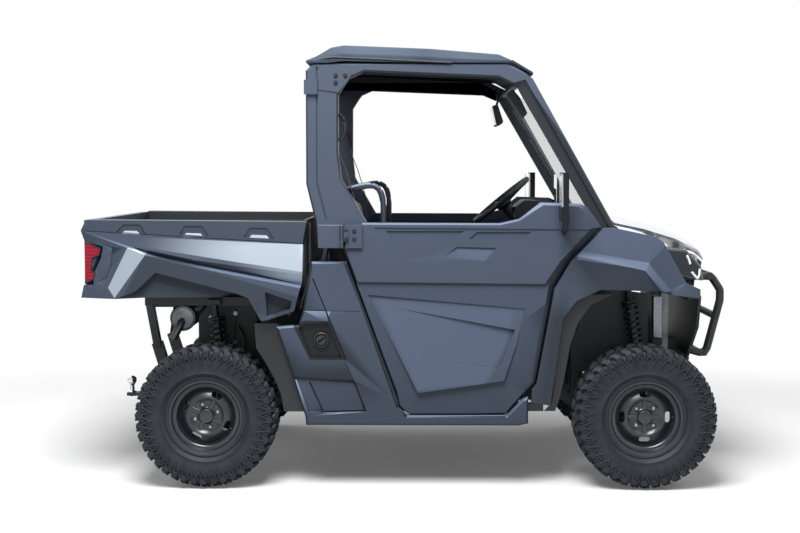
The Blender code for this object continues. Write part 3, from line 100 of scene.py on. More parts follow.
def softenEdges(obj, width, segments=2, degrees=28):
    modify(obj, "BEVEL", width=width, segments=segments, limit_method="ANGLE",
           angle_limit=math.radians(degrees), harden_normals=False, miter_outer="MITER_ARC")
    smooth(obj)
    modify(obj, "WEIGHTED_NORMAL", keep_sharp=True)  # keeps the flats flat beside their rounded edges


def join(*objs):
    if len(objs) > 1:
        only(*objs)
        bpy.ops.object.join()
    return objs[0]


def dress(obj, name, material, body, replaced=()):
    obj.name = name
    obj.data.name = name
    if material is not None:
        obj.data.materials.clear()
        obj.data.materials.append(material)
    only(obj)
    bpy.ops.object.transform_apply(location=True, rotation=True, scale=True)
    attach(obj, body)
    if replaced:
        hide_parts(*replaced)
    return obj


def chain(points):
    # a line of edges drawn point by point, left open and selected in edit mode
    bpy.ops.object.select_all(action="DESELECT")
    bpy.ops.mesh.primitive_plane_add(size=0.01, location=(0, 0, 0))
    obj = bpy.context.object
    bpy.ops.object.mode_set(mode="EDIT")
    bpy.ops.mesh.select_mode(type="VERT")
    bpy.ops.mesh.merge(type="CENTER")
    bpy.ops.transform.translate(value=points[0])
    for before, after in zip(points, points[1:]):
        step = Vector(after) - Vector(before)
        bpy.ops.mesh.extrude_region_move(TRANSFORM_OT_translate={"value": step})
    return obj


def panel(corners, inner, outer, cornerRadius=0.0, cornerSteps=3):
    # a side outline of x, z corners, filled and pushed out from inner to outer y
    obj = chain([(x, inner, z) for x, z in corners])
    bpy.ops.mesh.select_all(action="SELECT")
    bpy.ops.mesh.edge_face_add()
    if cornerRadius:
        bpy.ops.mesh.bevel(offset=cornerRadius, segments=cornerSteps, affect="VERTICES")
        bpy.ops.mesh.select_all(action="SELECT")
    bpy.ops.mesh.extrude_region_move(TRANSFORM_OT_translate={"value": (0, outer - inner, 0)})
    closeEdit(outward=True)
    return obj


def pipe(points, radius, bend=0.0, steps=4, sides=5, caps=True):
    # a round bar along a drawn line, its corners rounded first
    obj = chain(points)
    bpy.ops.object.mode_set(mode="OBJECT")
    if bend:
        pickIn(obj, "VERT", lambda vert: len(vert.link_edges) == 2)
        bpy.ops.mesh.bevel(offset=bend, offset_type="OFFSET", segments=steps, affect="VERTICES")
        closeEdit()
    only(obj)
    bpy.ops.object.convert(target="CURVE")
    obj = bpy.context.object
    obj.data.dimensions = "3D"
    obj.data.bevel_depth = radius
    obj.data.bevel_resolution = sides
    obj.data.use_fill_caps = caps
    bpy.ops.object.convert(target="MESH")
    obj = bpy.context.object
    smooth(obj, 40)
    return obj


def turn(points, centre, axis="Y", steps=48, closed=False, angle=360):
    # a profile of radius, distance corners turned about an axis through the centre
    centre = Vector(centre)
    out, along = {"X": ((0, 0, 1), (1, 0, 0)), "Y": ((1, 0, 0), (0, 1, 0)), "Z": ((1, 0, 0), (0, 0, 1))}[axis]
    profile = [centre + Vector(out) * r + Vector(along) * d for r, d in points]
    if closed:
        profile.append(profile[0])
    obj = chain(profile)
    bpy.ops.mesh.select_all(action="SELECT")
    bpy.ops.mesh.spin(steps=steps, angle=math.radians(angle), center=centre, axis=along)
    bpy.ops.mesh.select_all(action="SELECT")
    bpy.ops.mesh.remove_doubles(threshold=0.00005)
    closeEdit(outward=True)
    return obj


def block(low, high):
    bpy.ops.object.select_all(action="DESELECT")
    middle = (Vector(low) + Vector(high)) / 2
    bpy.ops.mesh.primitive_cube_add(size=1, location=middle, scale=Vector(high) - Vector(low))
    obj = bpy.context.object
    bpy.ops.object.transform_apply(location=True, rotation=True, scale=True)
    return obj


def cut(obj, *cutters):
    for cutter in cutters:
        modify(obj, "BOOLEAN", operation="DIFFERENCE", object=cutter, solver="EXACT")
        bpy.data.objects.remove(cutter)
    return obj


def copyOfNode(node):
    # a merged copy of a CAD node, its flat faces made whole again
    source = frame["nodes"][node]
    only(source)
    bpy.ops.object.duplicate(linked=False)
    obj = bpy.context.object
    for key in list(obj.keys()):
        if key.startswith("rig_"):
            del obj[key]
    obj.parent = None
    obj.matrix_world = Matrix.Identity(4)
    only(obj)
    bpy.ops.object.mode_set(mode="EDIT")
    bpy.ops.mesh.select_mode(type="VERT")
    bpy.ops.mesh.select_all(action="SELECT")
    bpy.ops.mesh.remove_doubles(threshold=0.00002)
    bpy.ops.mesh.dissolve_limited(angle_limit=math.radians(0.6))
    bpy.ops.mesh.quads_convert_to_tris(quad_method="BEAUTY", ngon_method="BEAUTY")
    bpy.ops.object.mode_set(mode="OBJECT")
    return obj


# Following the outside of a piece; all side pieces are made on the right and mirrored

def skin(obj, x, z):
    # y of the right-hand piece's outer surface at x, z, or None beside it
    hit, where, normal, face = obj.ray_cast((x, -1.2, z), (0, 1, 0))
    return where.y if hit else None


def laid(obj, points, lift=0.0, step=0.03):
    # x, z points joined by straight lines and laid on the outer surface, lift metres proud of it
    dots = []
    for (x0, z0), (x1, z1) in zip(points, points[1:]):
        count = max(1, round(math.hypot(x1 - x0, z1 - z0) / step))
        dots += [(x0 + (x1 - x0) * k / count, z0 + (z1 - z0) * k / count) for k in range(count)]
    dots.append(points[-1])
    known = [(x, y, z) for x, y, z in ((x, skin(obj, x, z), z) for x, z in dots) if y is not None]
    return [(x, y - lift, z) for x, y, z in known]


def stripOutline(line, width):
    # the outline of a band of the given width along a line of x, z points, mitred at its corners
    edges = {1: [], -1: []}
    for k, (x, z) in enumerate(line):
        here = Vector((x, z))
        ways = [step.normalized() for step in (here - Vector(line[max(k - 1, 0)]),
                                               Vector(line[min(k + 1, len(line) - 1)]) - here) if step.length > 0]
        normal = sum((Vector((-way.y, way.x)) for way in ways), Vector((0, 0))).normalized()
        reach = width / 2 / max(0.4, normal.dot(Vector((-ways[0].y, ways[0].x))))
        for way in (1, -1):
            edges[way].append(tuple(here + normal * reach * way))
    return edges[1] + edges[-1][::-1]


def groove(obj, lines, width, depth=0.008, mirrored=False):
    # square-sided grooves cut along x, z lines into the outer surface
    for line in lines:
        heights = [y for x, y, z in laid(obj, line)]
        cutter = panel(stripOutline(line, width), max(heights) + depth, min(heights) - 0.02)
        if mirrored:
            twin = place(duplicate(cutter), mirrored=True)
            cut(obj, twin)
        cut(obj, cutter)


def stand(obj, foot, top):
    # turns a piece drawn up the z axis from the origin so that it stands from foot towards top
    only(obj)
    obj.rotation_mode = "QUATERNION"
    obj.rotation_quaternion = (Vector(top) - Vector(foot)).to_track_quat("Z", "Y")
    obj.location = foot
    bpy.ops.object.transform_apply(location=True, rotation=True, scale=True)
    return obj


def pocket(obj, corners, depth, cornerRadius=0.0):
    # a flat-bottomed hollow of the given depth below the surface at the outline's first corner
    x, z = sum(c[0] for c in corners) / len(corners), sum(c[1] for c in corners) / len(corners)
    floor = skin(obj, x, z) + depth
    cut(obj, panel(corners, floor, floor - 0.08, cornerRadius))
    return floor


def evenNormals(obj, degrees=35):
    smooth(obj, degrees)
    modify(obj, "WEIGHTED_NORMAL", keep_sharp=True)


def pair(piece, kind, look, body, node=None):
    # the right-hand piece and its mirror image; {} in the body's name is the side
    twin = place(duplicate(piece), mirrored=True)
    evenNormals(twin)
    for obj, word in ((piece, "right"), (twin, "left")):
        material = finish[look] if look else None
        dress(obj, kind + "_" + word, material, body.format(word), [node + "_" + word] if node else ())
    return piece, twin


def bolt(place, radius, height=None, axis="Y", sides=6):
    # a headed bolt standing out of the right-hand side, with its washer
    height = height or radius * 0.75
    head = turn([(0.0, -height), (radius * 0.72, -height), (radius * 0.86, -height * 0.8), (radius * 0.86, -0.0012),
                 (radius * 1.3, -0.0012), (radius * 1.3, 0.002), (0.0, 0.002)], place, axis, sides * 2)
    smooth(head, 30)
    return head


def coil(centre, low, high, radius, wire, turns, lean=(0, 0)):
    # a spring: a wire wound upwards, its ends closed flat; lean is the top's shift in x and y
    count = int(turns * 14)
    points = []
    for k in range(count + 1):
        share = k / count
        rise = min(1.0, max(0.0, (share - 0.06) / 0.88))
        angle = 2 * math.pi * turns * share
        points.append((centre[0] + lean[0] * rise + radius * math.cos(angle),
                       centre[1] + lean[1] * rise + radius * math.sin(angle), low + (high - low) * rise))
    return pipe(points, wire, sides=1)


# Materials

def linear(code):
    code = code.lstrip("#")
    channels = [int(code[i:i + 2], 16) / 255 for i in (0, 2, 4)]
    return tuple(c / 12.92 if c <= 0.04045 else ((c + 0.055) / 1.055) ** 2.4 for c in channels) + (1.0,)


def addNode(tree, kind, links=None, **settings):
    node = tree.nodes.new("ShaderNode" + kind)
    for name, value in settings.items():
        if hasattr(node, name):
            setattr(node, name, value)
        else:
            node.inputs[name.replace("_", " ")].default_value = value
    for name, socket in (links or {}).items():
        tree.links.new(socket, node.inputs[name])
    return node


def newMaterial(name, base, roughness, metallic=0.0, **sockets):
    material = bpy.data.materials.new(name)
    material.use_nodes = True
    shader = material.node_tree.nodes["Principled BSDF"]
    shader.inputs["Base Color"].default_value = linear(base)
    shader.inputs["Roughness"].default_value = roughness
    shader.inputs["Metallic"].default_value = metallic
    for socket, value in sockets.items():
        shader.inputs[socket.replace("_", " ")].default_value = value
    return material, material.node_tree, shader


def grainBump(tree, shader, scale, strength, distance, detail=3.0):
    # scale is in cycles to the metre, so 1 / 0.002 is a 2 mm grain
    coords = addNode(tree, "TexCoord")
    noise = addNode(tree, "TexNoise", {"Vector": coords.outputs["Object"]}, Scale=scale, Detail=detail)
    bump = addNode(tree, "Bump", {"Height": noise.outputs["Fac"]}, Strength=strength, Distance=distance)
    tree.links.new(bump.outputs["Normal"], shader.inputs["Normal"])
    return coords, noise, bump


def varyColour(tree, shader, coords, dark, light, scale, low=0.35, high=0.65, detail=4.0):
    noise = addNode(tree, "TexNoise", {"Vector": coords.outputs["Object"]}, Scale=scale, Detail=detail)
    ramp = addNode(tree, "ValToRGB", {"Fac": noise.outputs["Fac"]})
    ramp.color_ramp.elements[0].position, ramp.color_ramp.elements[1].position = low, high
    ramp.color_ramp.elements[0].color, ramp.color_ramp.elements[1].color = linear(dark), linear(light)
    tree.links.new(ramp.outputs["Color"], shader.inputs["Base Color"])
    return noise, ramp


def varyRoughness(tree, shader, source, low, high):
    spread = addNode(tree, "MapRange", {"Value": source})
    spread.inputs["To Min"].default_value, spread.inputs["To Max"].default_value = low, high
    tree.links.new(spread.outputs["Result"], shader.inputs["Roughness"])


slateTone = {
    # painted light and shade of the moulding: its colour seen dry from above, flat, and in its own shade, and how far a
    # facet leans for either
    "shaded": "#252d37", "flat": "#444e5e", "lit": "#5c6880", "lean": 0.24, "foreAft": 0.75,
    "sill": (0.30, 0.85), "sillPaintedShade": -0.13,   # painted shade: the mouldings are painted darker towards the ground
}


def slateByFacet(tree, shader, coords):
    # painted light and shade: the satin plastic is painted lighter where a facet leans up and darker where it leans
    # down, forward or back
    split = addNode(tree, "SeparateXYZ", {"Vector": coords.outputs["Normal"]})
    across = addNode(tree, "Math", {0: split.outputs["X"]}, operation="ABSOLUTE")
    held = addNode(tree, "Math", {0: across.outputs["Value"]}, operation="MULTIPLY")
    held.inputs[1].default_value = slateTone["foreAft"]
    lean = addNode(tree, "Math", {0: split.outputs["Z"], 1: held.outputs["Value"]}, operation="SUBTRACT")
    noise = addNode(tree, "TexNoise", {"Vector": coords.outputs["Object"]}, Scale=3.0, Detail=4.0)
    drift = addNode(tree, "MapRange", {"Value": noise.outputs["Fac"]})
    drift.inputs["To Min"].default_value, drift.inputs["To Max"].default_value = -0.03, 0.03
    total = addNode(tree, "Math", {0: lean.outputs["Value"], 1: drift.outputs["Result"]}, operation="ADD")
    place = addNode(tree, "SeparateXYZ", {"Vector": coords.outputs["Object"]})
    low = addNode(tree, "MapRange", {"Value": place.outputs["Z"]})
    low.inputs["From Min"].default_value, low.inputs["From Max"].default_value = slateTone["sill"]
    low.inputs["To Min"].default_value, low.inputs["To Max"].default_value = slateTone["sillPaintedShade"], 0.0
    sunk = addNode(tree, "Math", {0: total.outputs["Value"], 1: low.outputs["Result"]}, operation="ADD")
    share = addNode(tree, "MapRange", {"Value": sunk.outputs["Value"]})
    share.inputs["From Min"].default_value = -slateTone["lean"]
    share.inputs["From Max"].default_value = slateTone["lean"]
    ramp = addNode(tree, "ValToRGB", {"Fac": share.outputs["Result"]})
    ramp.color_ramp.elements[0].color, ramp.color_ramp.elements[1].color = linear(slateTone["shaded"]), linear(slateTone["lit"])
    middle = ramp.color_ramp.elements.new(0.5)
    middle.color = linear(slateTone["flat"])
    tree.links.new(ramp.outputs["Color"], shader.inputs["Base Color"])
    return noise


def mouldedSlate():
    # polypropylene body moulding in slate blue, with a fine pebble grain that keeps its sheen broad
    material, tree, shader = newMaterial("slateMoulding", "#444e5e", 0.46, Specular_IOR_Level=0.28)
    coords, noise, bump = grainBump(tree, shader, 1 / 0.0022, 0.10, 0.0006)
    # the base colour is painted light and shade: lighter on facets that lean up, darker on those leaning away and
    # towards the ground
    cloud = slateByFacet(tree, shader, coords)
    varyRoughness(tree, shader, cloud.outputs["Fac"], 0.44, 0.53)
    return material


def insideMask(tree, coords, corners, soft=0.0012):
    # 1 inside a convex outline of x, z corners, 0 outside, with an edge as thin as masked paint
    middle = Vector((sum(c[0] for c in corners) / len(corners), sum(c[1] for c in corners) / len(corners)))
    mask = None
    for a, b in zip(corners, corners[1:] + corners[:1]):
        normal = Vector((-(b[1] - a[1]), b[0] - a[0])).normalized()
        if normal.dot(middle - Vector(a)) < 0:
            normal = -normal
        edge = normal.dot(Vector(a))
        across = addNode(tree, "VectorMath", {0: coords.outputs["Object"]}, operation="DOT_PRODUCT")
        across.inputs[1].default_value = (normal.x, 0, normal.y)
        test = addNode(tree, "MapRange", {"Value": across.outputs["Value"]})
        test.inputs["From Min"].default_value, test.inputs["From Max"].default_value = edge - soft, edge + soft
        if mask is None:
            mask = test.outputs["Result"]
        else:
            mask = addNode(tree, "Math", {0: mask, 1: test.outputs["Result"]}, operation="MINIMUM").outputs["Value"]
    return mask


def paintOver(tree, shader, mask, colour, roughness, metallic):
    # lays a second finish over the first wherever the mask is 1
    for socket, value in (("Base Color", colour), ("Roughness", roughness), ("Metallic", metallic)):
        target = shader.inputs[socket]
        under = target.links[0].from_socket if target.is_linked else None
        mix = addNode(tree, "Mix", data_type="RGBA" if socket == "Base Color" else "FLOAT")
        factor, a, b = [i for i in mix.inputs if i.enabled]
        b.default_value = value
        if under:
            tree.links.new(under, a)
        else:
            a.default_value = target.default_value
        tree.links.new(mask, factor)
        tree.links.new([o for o in mix.outputs if o.enabled][0], target)


bedPaint = {
    "stripe": [(-1.272, 1.101), (-1.186, 1.076), (-1.334, 0.871), (-1.363, 0.918)],
    "wedge": [(-1.425, 1.159), (-0.455, 1.114), (-0.455, 0.985), (-1.178, 1.099)],
    "lowWedgePaintedShade": [(-1.150, 1.098), (-0.455, 0.987), (-0.455, 0.930), (-0.480, 0.930)],
    "rail": [(-1.500, 1.240), (-0.440, 1.240), (-0.440, 1.1185), (-1.500, 1.1780)],
    "flare": [(-1.195, 1.062), (-1.120, 1.062), (-0.470, 0.868), (-0.470, 0.800), (-0.600, 0.790), (-1.300, 0.872)],
    "fade": (-1.25, -0.68),   # the silver of the wedge comes in from slate between these two x
    "lowFade": (-0.85, -0.50),
}


def bedSideMoulding():
    # the slate moulding with its silver stripe, and the wedge that fades to silver towards the cab; painted shade on
    # the flare and on the low facet of the wedge, and the rail in its own greyer tone with painted shade
    material = mouldedSlate()
    material.name = "slateMouldingSilverBlend"
    tree = material.node_tree
    shader = tree.nodes["Principled BSDF"]
    coords = addNode(tree, "TexCoord")
    split = addNode(tree, "SeparateXYZ", {"Vector": coords.outputs["Object"]})
    # the rail: its own greyer unpainted moulding, darkened as painted shade
    paintOver(tree, shader, insideMask(tree, coords, bedPaint["rail"]), linear("#3c4552"), 0.42, 0.0)
    # painted shade on the face of the flare
    paintOver(tree, shader, insideMask(tree, coords, bedPaint["flare"], 0.006), linear("#343c47"), 0.48, 0.0)
    paintOver(tree, shader, insideMask(tree, coords, bedPaint["stripe"]), linear("#aab6c4"), 0.32, 0.35)
    # the wedge in silver paint, and below it its low facet in a darker silver that is painted shade
    for outline, fade, shade in (("wedge", "fade", "#bcc7d3"), ("lowWedgePaintedShade", "lowFade", "#8e99a8")):
        ramp = addNode(tree, "MapRange", {"Value": split.outputs["X"]}, interpolation_type="SMOOTHSTEP")
        ramp.inputs["From Min"].default_value, ramp.inputs["From Max"].default_value = bedPaint[fade]
        mask = addNode(tree, "Math", {0: insideMask(tree, coords, bedPaint[outline]), 1: ramp.outputs["Result"]},
                       operation="MULTIPLY")
        paintOver(tree, shader, mask.outputs["Value"], linear(shade), 0.32, 0.35)
    return material


fillerRecess = [(-0.523, 0.747), (-0.472, 0.770), (-0.358, 0.768), (-0.284, 0.590), (-0.449, 0.590)]


def cabSideMoulding():
    # the slate moulding with the unpainted black recess round the filler cap
    material = mouldedSlate()
    material.name = "slateMouldingBlackRecess"
    tree = material.node_tree
    coords = addNode(tree, "TexCoord")
    paintOver(tree, tree.nodes["Principled BSDF"], insideMask(tree, coords, fillerRecess), linear("#15181c"), 0.5, 0.0)
    return material


def sealRubber():
    # extruded black weather strip
    material, tree, shader = newMaterial("weatherStrip", "#101214", 0.55)
    grainBump(tree, shader, 1 / 0.002, 0.1, 0.0003)
    return material


def whiteLens():
    # milky light guide of the running lamp
    material, tree, shader = newMaterial("runningLampGuide", "#eef2f6", 0.18, Coat_Weight=0.6, Coat_Roughness=0.03)
    grainBump(tree, shader, 1 / 0.006, 0.05, 0.0003, 1.0)
    return material


def mirrorGlass():
    # silvered glass
    material, tree, shader = newMaterial("mirrorGlass", "#d7dde2", 0.03, 1.0)
    return material


def darkMoulding():
    # the same plastic unpainted: black, coarser grain, a little duller
    material, tree, shader = newMaterial("blackMoulding", "#16191d", 0.50)
    coords, noise, bump = grainBump(tree, shader, 1 / 0.0028, 0.22, 0.0008)
    varyColour(tree, shader, coords, "#13161a", "#1b1f24", 5.0)
    return material


def silverPaint():
    # metallic silver base coat under clear lacquer: flake as tiny changes of brightness
    material, tree, shader = newMaterial("silverLacquer", "#c4c8d0", 0.30, 0.55, Coat_Weight=0.6, Coat_Roughness=0.06)
    coords = addNode(tree, "TexCoord")
    varyColour(tree, shader, coords, "#b9bec8", "#d0d4db", 1 / 0.003, 0.3, 0.7, 1.0)
    return material


def paintedCage():
    # powder coated steel tube in slate, smoother than the mouldings, a faint orange peel
    material, tree, shader = newMaterial("slatePowderCoat", "#4c5669", 0.34)
    coords, noise, bump = grainBump(tree, shader, 1 / 0.006, 0.06, 0.0008, 1.0)
    # painted light and shade by the lean of each facet, as on the mouldings
    slateByFacet(tree, shader, coords)
    # the sloping front posts stand in their own shade
    paintOver(tree, shader, insideMask(tree, coords, [(0.43, 1.84), (0.53, 1.84), (1.00, 1.18), (0.80, 1.18)]),
              linear("#1d232b"), 0.36, 0.0)
    return material


def roofMoulding():
    # the slate moulding with hardly any sheen, so that the roof keeps its colour at a flat angle
    material = mouldedSlate()
    material.name = "slateMouldingRoof"
    tree = material.node_tree
    shader = tree.nodes["Principled BSDF"]
    shader.inputs["Specular IOR Level"].default_value = 0.04
    varyColour(tree, shader, addNode(tree, "TexCoord"), "#39424e", "#434c59", 3.0)
    return material


def fenderMoulding():
    # the slate moulding with painted light on the top face, along the crest of the flare and down its front, and
    # painted shade at the foot
    material = mouldedSlate()
    material.name = "slateMouldingFender"
    tree = material.node_tree
    coords = addNode(tree, "TexCoord")
    for outline, shade in (
        ([(0.700, 1.190), (0.927, 1.209), (1.126, 1.157), (1.161, 1.109), (1.085, 1.030), (0.771, 1.071)], "#4f5a6e"),
        ([(0.771, 1.071), (1.085, 1.030), (1.070, 1.004), (0.758, 1.050)], "#5f6b80"),
        ([(1.085, 1.030), (1.189, 0.907), (1.155, 0.900), (1.070, 1.004)], "#535e71"),
        ([(0.560, 0.300), (0.720, 0.300), (0.760, 0.780), (0.700, 0.860), (0.620, 0.800)], "#28303a"),
    ):
        soft = 0.05 if outline[0][1] < 0.5 else 0.003     # the painted shade at the foot of the fender darkens gradually
        paintOver(tree, tree.nodes["Principled BSDF"], insideMask(tree, coords, outline, soft), linear(shade), 0.46, 0.0)
    return material


def doorMoulding():
    # the slate moulding; its mirror is black with a bright edge
    material = mouldedSlate()
    material.name = "slateMouldingBlackMirror"
    tree = material.node_tree
    shader = tree.nodes["Principled BSDF"]
    coords = addNode(tree, "TexCoord")
    # the large hollow panel is painted a shade lighter, painted light on a face that leans up, and is smoother
    hollow = insideMask(tree, coords, [(-0.150, 0.868), (0.480, 0.812), (0.450, 0.660), (0.350, 0.480), (0.040, 0.452)], 0.012)
    paintOver(tree, shader, hollow, linear("#515c70"), 0.40, 0.0)
    split = addNode(tree, "SeparateXYZ", {"Vector": coords.outputs["Object"]})
    reach = addNode(tree, "Math", {0: split.outputs["Y"]}, operation="ABSOLUTE")
    beyond = addNode(tree, "MapRange", {"Value": reach.outputs["Value"]})
    beyond.inputs["From Min"].default_value, beyond.inputs["From Max"].default_value = 0.772, 0.774
    for outline, shade, roughness, metallic in (
        ([(0.60, 1.20), (0.76, 1.20), (0.76, 1.45), (0.60, 1.45)], "#14171b", 0.35, 0.0),
        ([(0.667, 1.290), (0.679, 1.290), (0.677, 1.434), (0.667, 1.434)], "#c9d1d8", 0.15, 0.9),
    ):
        mask = addNode(tree, "Math", {0: insideMask(tree, coords, outline), 1: beyond.outputs["Result"]}, operation="MULTIPLY")
        paintOver(tree, shader, mask.outputs["Value"], linear(shade), roughness, metallic)
    return material


def blackSteel():
    # black powder coat with a fine texture, dust in it
    material, tree, shader = newMaterial("blackPowderCoat", "#15181c", 0.42)
    coords, noise, bump = grainBump(tree, shader, 1 / 0.0018, 0.18, 0.0005)
    varyColour(tree, shader, coords, "#121519", "#1c2025", 9.0)
    return material


def wheelPaint():
    # satin black stoved enamel on pressed steel
    material, tree, shader = newMaterial("wheelEnamel", "#1a1f25", 0.30, 0.0, Coat_Weight=0.25, Coat_Roughness=0.2)
    coords, noise, bump = grainBump(tree, shader, 1 / 0.010, 0.05, 0.0008, 1.0)
    varyRoughness(tree, shader, noise.outputs["Fac"], 0.26, 0.36)
    return material


def tyreRubber():
    # carbon black rubber: matt, greyer with dust in the hollows
    material, tree, shader = newMaterial("tyreRubber", "#1a2026", 0.60, Specular_IOR_Level=0.35)
    coords, noise, bump = grainBump(tree, shader, 1 / 0.0030, 0.16, 0.0007)
    varyColour(tree, shader, coords, "#1a1f24", "#262c33", 14.0)
    varyRoughness(tree, shader, noise.outputs["Fac"], 0.55, 0.72)
    return material


def castAluminium():
    # sand cast aluminium, dull and pitted
    material, tree, shader = newMaterial("castAluminium", "#73777c", 0.42, 0.9)
    coords, noise, bump = grainBump(tree, shader, 1 / 0.0020, 0.25, 0.0006)
    varyColour(tree, shader, coords, "#62666b", "#84888d", 12.0)
    return material


def brightSteel():
    # zinc plated and stainless steel
    material, tree, shader = newMaterial("zincSteel", "#8f9399", 0.30, 1.0)
    coords, noise, bump = grainBump(tree, shader, 1 / 0.004, 0.08, 0.0004, 2.0)
    varyRoughness(tree, shader, noise.outputs["Fac"], 0.20, 0.34)
    return material


def seatVinyl():
    # black vinyl over foam: leather grain of about 2 mm, soft sheen
    material, tree, shader = newMaterial("seatVinyl", "#1b1c1f", 0.48, Sheen_Weight=0.10)
    coords = addNode(tree, "TexCoord")
    cells = addNode(tree, "TexVoronoi", {"Vector": coords.outputs["Object"]}, Scale=1 / 0.0026)
    bump = addNode(tree, "Bump", {"Height": cells.outputs["Distance"]}, Strength=0.25, Distance=0.0006)
    tree.links.new(bump.outputs["Normal"], shader.inputs["Normal"])
    varyColour(tree, shader, coords, "#17181b", "#212226", 20.0)
    return material


def clearSheet(name, tint, roughness=0.02):
    # hard-coated polycarbonate sheet, too thin to bend the view through it
    material, tree, shader = newMaterial(name, tint, roughness, Alpha=0.20, IOR=1.45)
    return material


def redLens():
    # red acrylic over light guides
    material, tree, shader = newMaterial("redAcrylic", "#b3102a", 0.12, Coat_Weight=0.5, Coat_Roughness=0.03)
    coords = addNode(tree, "TexCoord")
    split = addNode(tree, "SeparateXYZ", {"Vector": coords.outputs["Object"]})
    rows = addNode(tree, "Math", {0: split.outputs["Z"]}, operation="MULTIPLY")
    rows.inputs[1].default_value = 2 * math.pi / 0.016
    wave = addNode(tree, "Math", {0: rows.outputs["Value"]}, operation="SINE")
    ramp = addNode(tree, "ValToRGB", {"Fac": wave.outputs["Value"]})
    ramp.color_ramp.elements[0].color, ramp.color_ramp.elements[1].color = linear("#8d1228"), linear("#b01c36")
    tree.links.new(ramp.outputs["Color"], shader.inputs["Base Color"])
    return material


def lampLens():
    # clear lamp cover over a dark housing
    material, tree, shader = newMaterial("lampCover", "#2a2e35", 0.08, Coat_Weight=1.0, Coat_Roughness=0.02)
    return material


finish = {
    "slate": mouldedSlate(),
    "dark": darkMoulding(),
    "silver": silverPaint(),
    "cage": paintedCage(),
    "blackSteel": blackSteel(),
    "wheel": wheelPaint(),
    "rubber": tyreRubber(),
    "aluminium": castAluminium(),
    "bright": brightSteel(),
    "vinyl": seatVinyl(),
    "glass": clearSheet("windshieldSheet", "#cfe3ea"),
    "red": redLens(),
    "lamp": lampLens(),
    "bedSide": bedSideMoulding(),
    "cabSide": cabSideMoulding(),
    "door": doorMoulding(),
    "fender": fenderMoulding(),
    "roof": roofMoulding(),
    "seal": sealRubber(),
    "white": whiteLens(),
    "mirror": mirrorGlass(),
}
print("materials made")


# Camera, lamps and floor

shot = {"place": (0.048, -6.68, 1.442), "lens": 59.3, "sensor": 36.0, "pitch": 4.10, "yaw": 0.83}


def camera():
    pitch, yaw = math.radians(shot["pitch"]), math.radians(shot["yaw"])
    ahead = Vector((-math.sin(yaw) * math.cos(pitch), math.cos(yaw) * math.cos(pitch), -math.sin(pitch)))
    bpy.ops.object.camera_add(location=shot["place"])
    cam = bpy.context.object
    cam.rotation_mode = "QUATERNION"
    cam.rotation_quaternion = ahead.to_track_quat("-Z", "Y")
    cam.data.lens = shot["lens"]
    cam.data.sensor_width = shot["sensor"]
    cam.data.clip_end = 200
    bpy.context.scene.camera = cam


studio = {
    # lamp: place, aimed at, size, watts
    "overhead": ((-0.3, -0.9, 5.0), (0.0, -0.2, 0.8), 3.4, 140),
    "front": ((-0.5, -3.3, 5.2), (0.0, -0.7, 0.8), 2.4, 400),
    "noseSide": ((4.2, -2.4, 4.6), (0.8, 0.0, 0.9), 2.0, 30),
    "rearSide": ((-4.8, 2.6, 3.8), (-0.5, 0.0, 0.9), 3.0, 60),
    "worldLevel": 0.24,
    "floorShade": "#e9e9ea",
    "floorBounce": "#8d8d8f",  # what the floor sends back up on to the underside
    "floorFade": (2.0, 3.6),
    "shadowLift": 0.09,         # white added over the whole floor, so that the shadow stays grey
}


def lamps():
    for name in ("overhead", "front", "noseSide", "rearSide"):
        place, aim, size, watts = studio[name]
        bpy.ops.object.light_add(type="AREA", location=place)
        lamp = bpy.context.object
        lamp.name = name
        lamp.rotation_mode = "QUATERNION"
        lamp.rotation_quaternion = (Vector(aim) - Vector(place)).to_track_quat("-Z", "Y")
        lamp.data.size = size
        lamp.data.energy = watts
    world = bpy.data.worlds.new("studioWhite")
    world.use_nodes = True
    bpy.context.scene.world = world
    tree = world.node_tree
    tree.nodes.clear()
    path = addNode(tree, "LightPath")
    seen = addNode(tree, "Math", {0: path.outputs["Is Camera Ray"], 1: path.outputs["Is Glossy Ray"]}, operation="MAXIMUM")
    seen = addNode(tree, "Math", {0: seen.outputs["Value"], 1: path.outputs["Is Transmission Ray"]}, operation="MAXIMUM")
    strength = addNode(tree, "MapRange", {"Value": seen.outputs["Value"]})
    strength.inputs["To Min"].default_value, strength.inputs["To Max"].default_value = studio["worldLevel"], 1.0
    sky = addNode(tree, "Background", {"Strength": strength.outputs["Result"]})
    sky.inputs["Color"].default_value = (1, 1, 1, 1)
    addNode(tree, "OutputWorld", {"Surface": sky.outputs["Background"]})


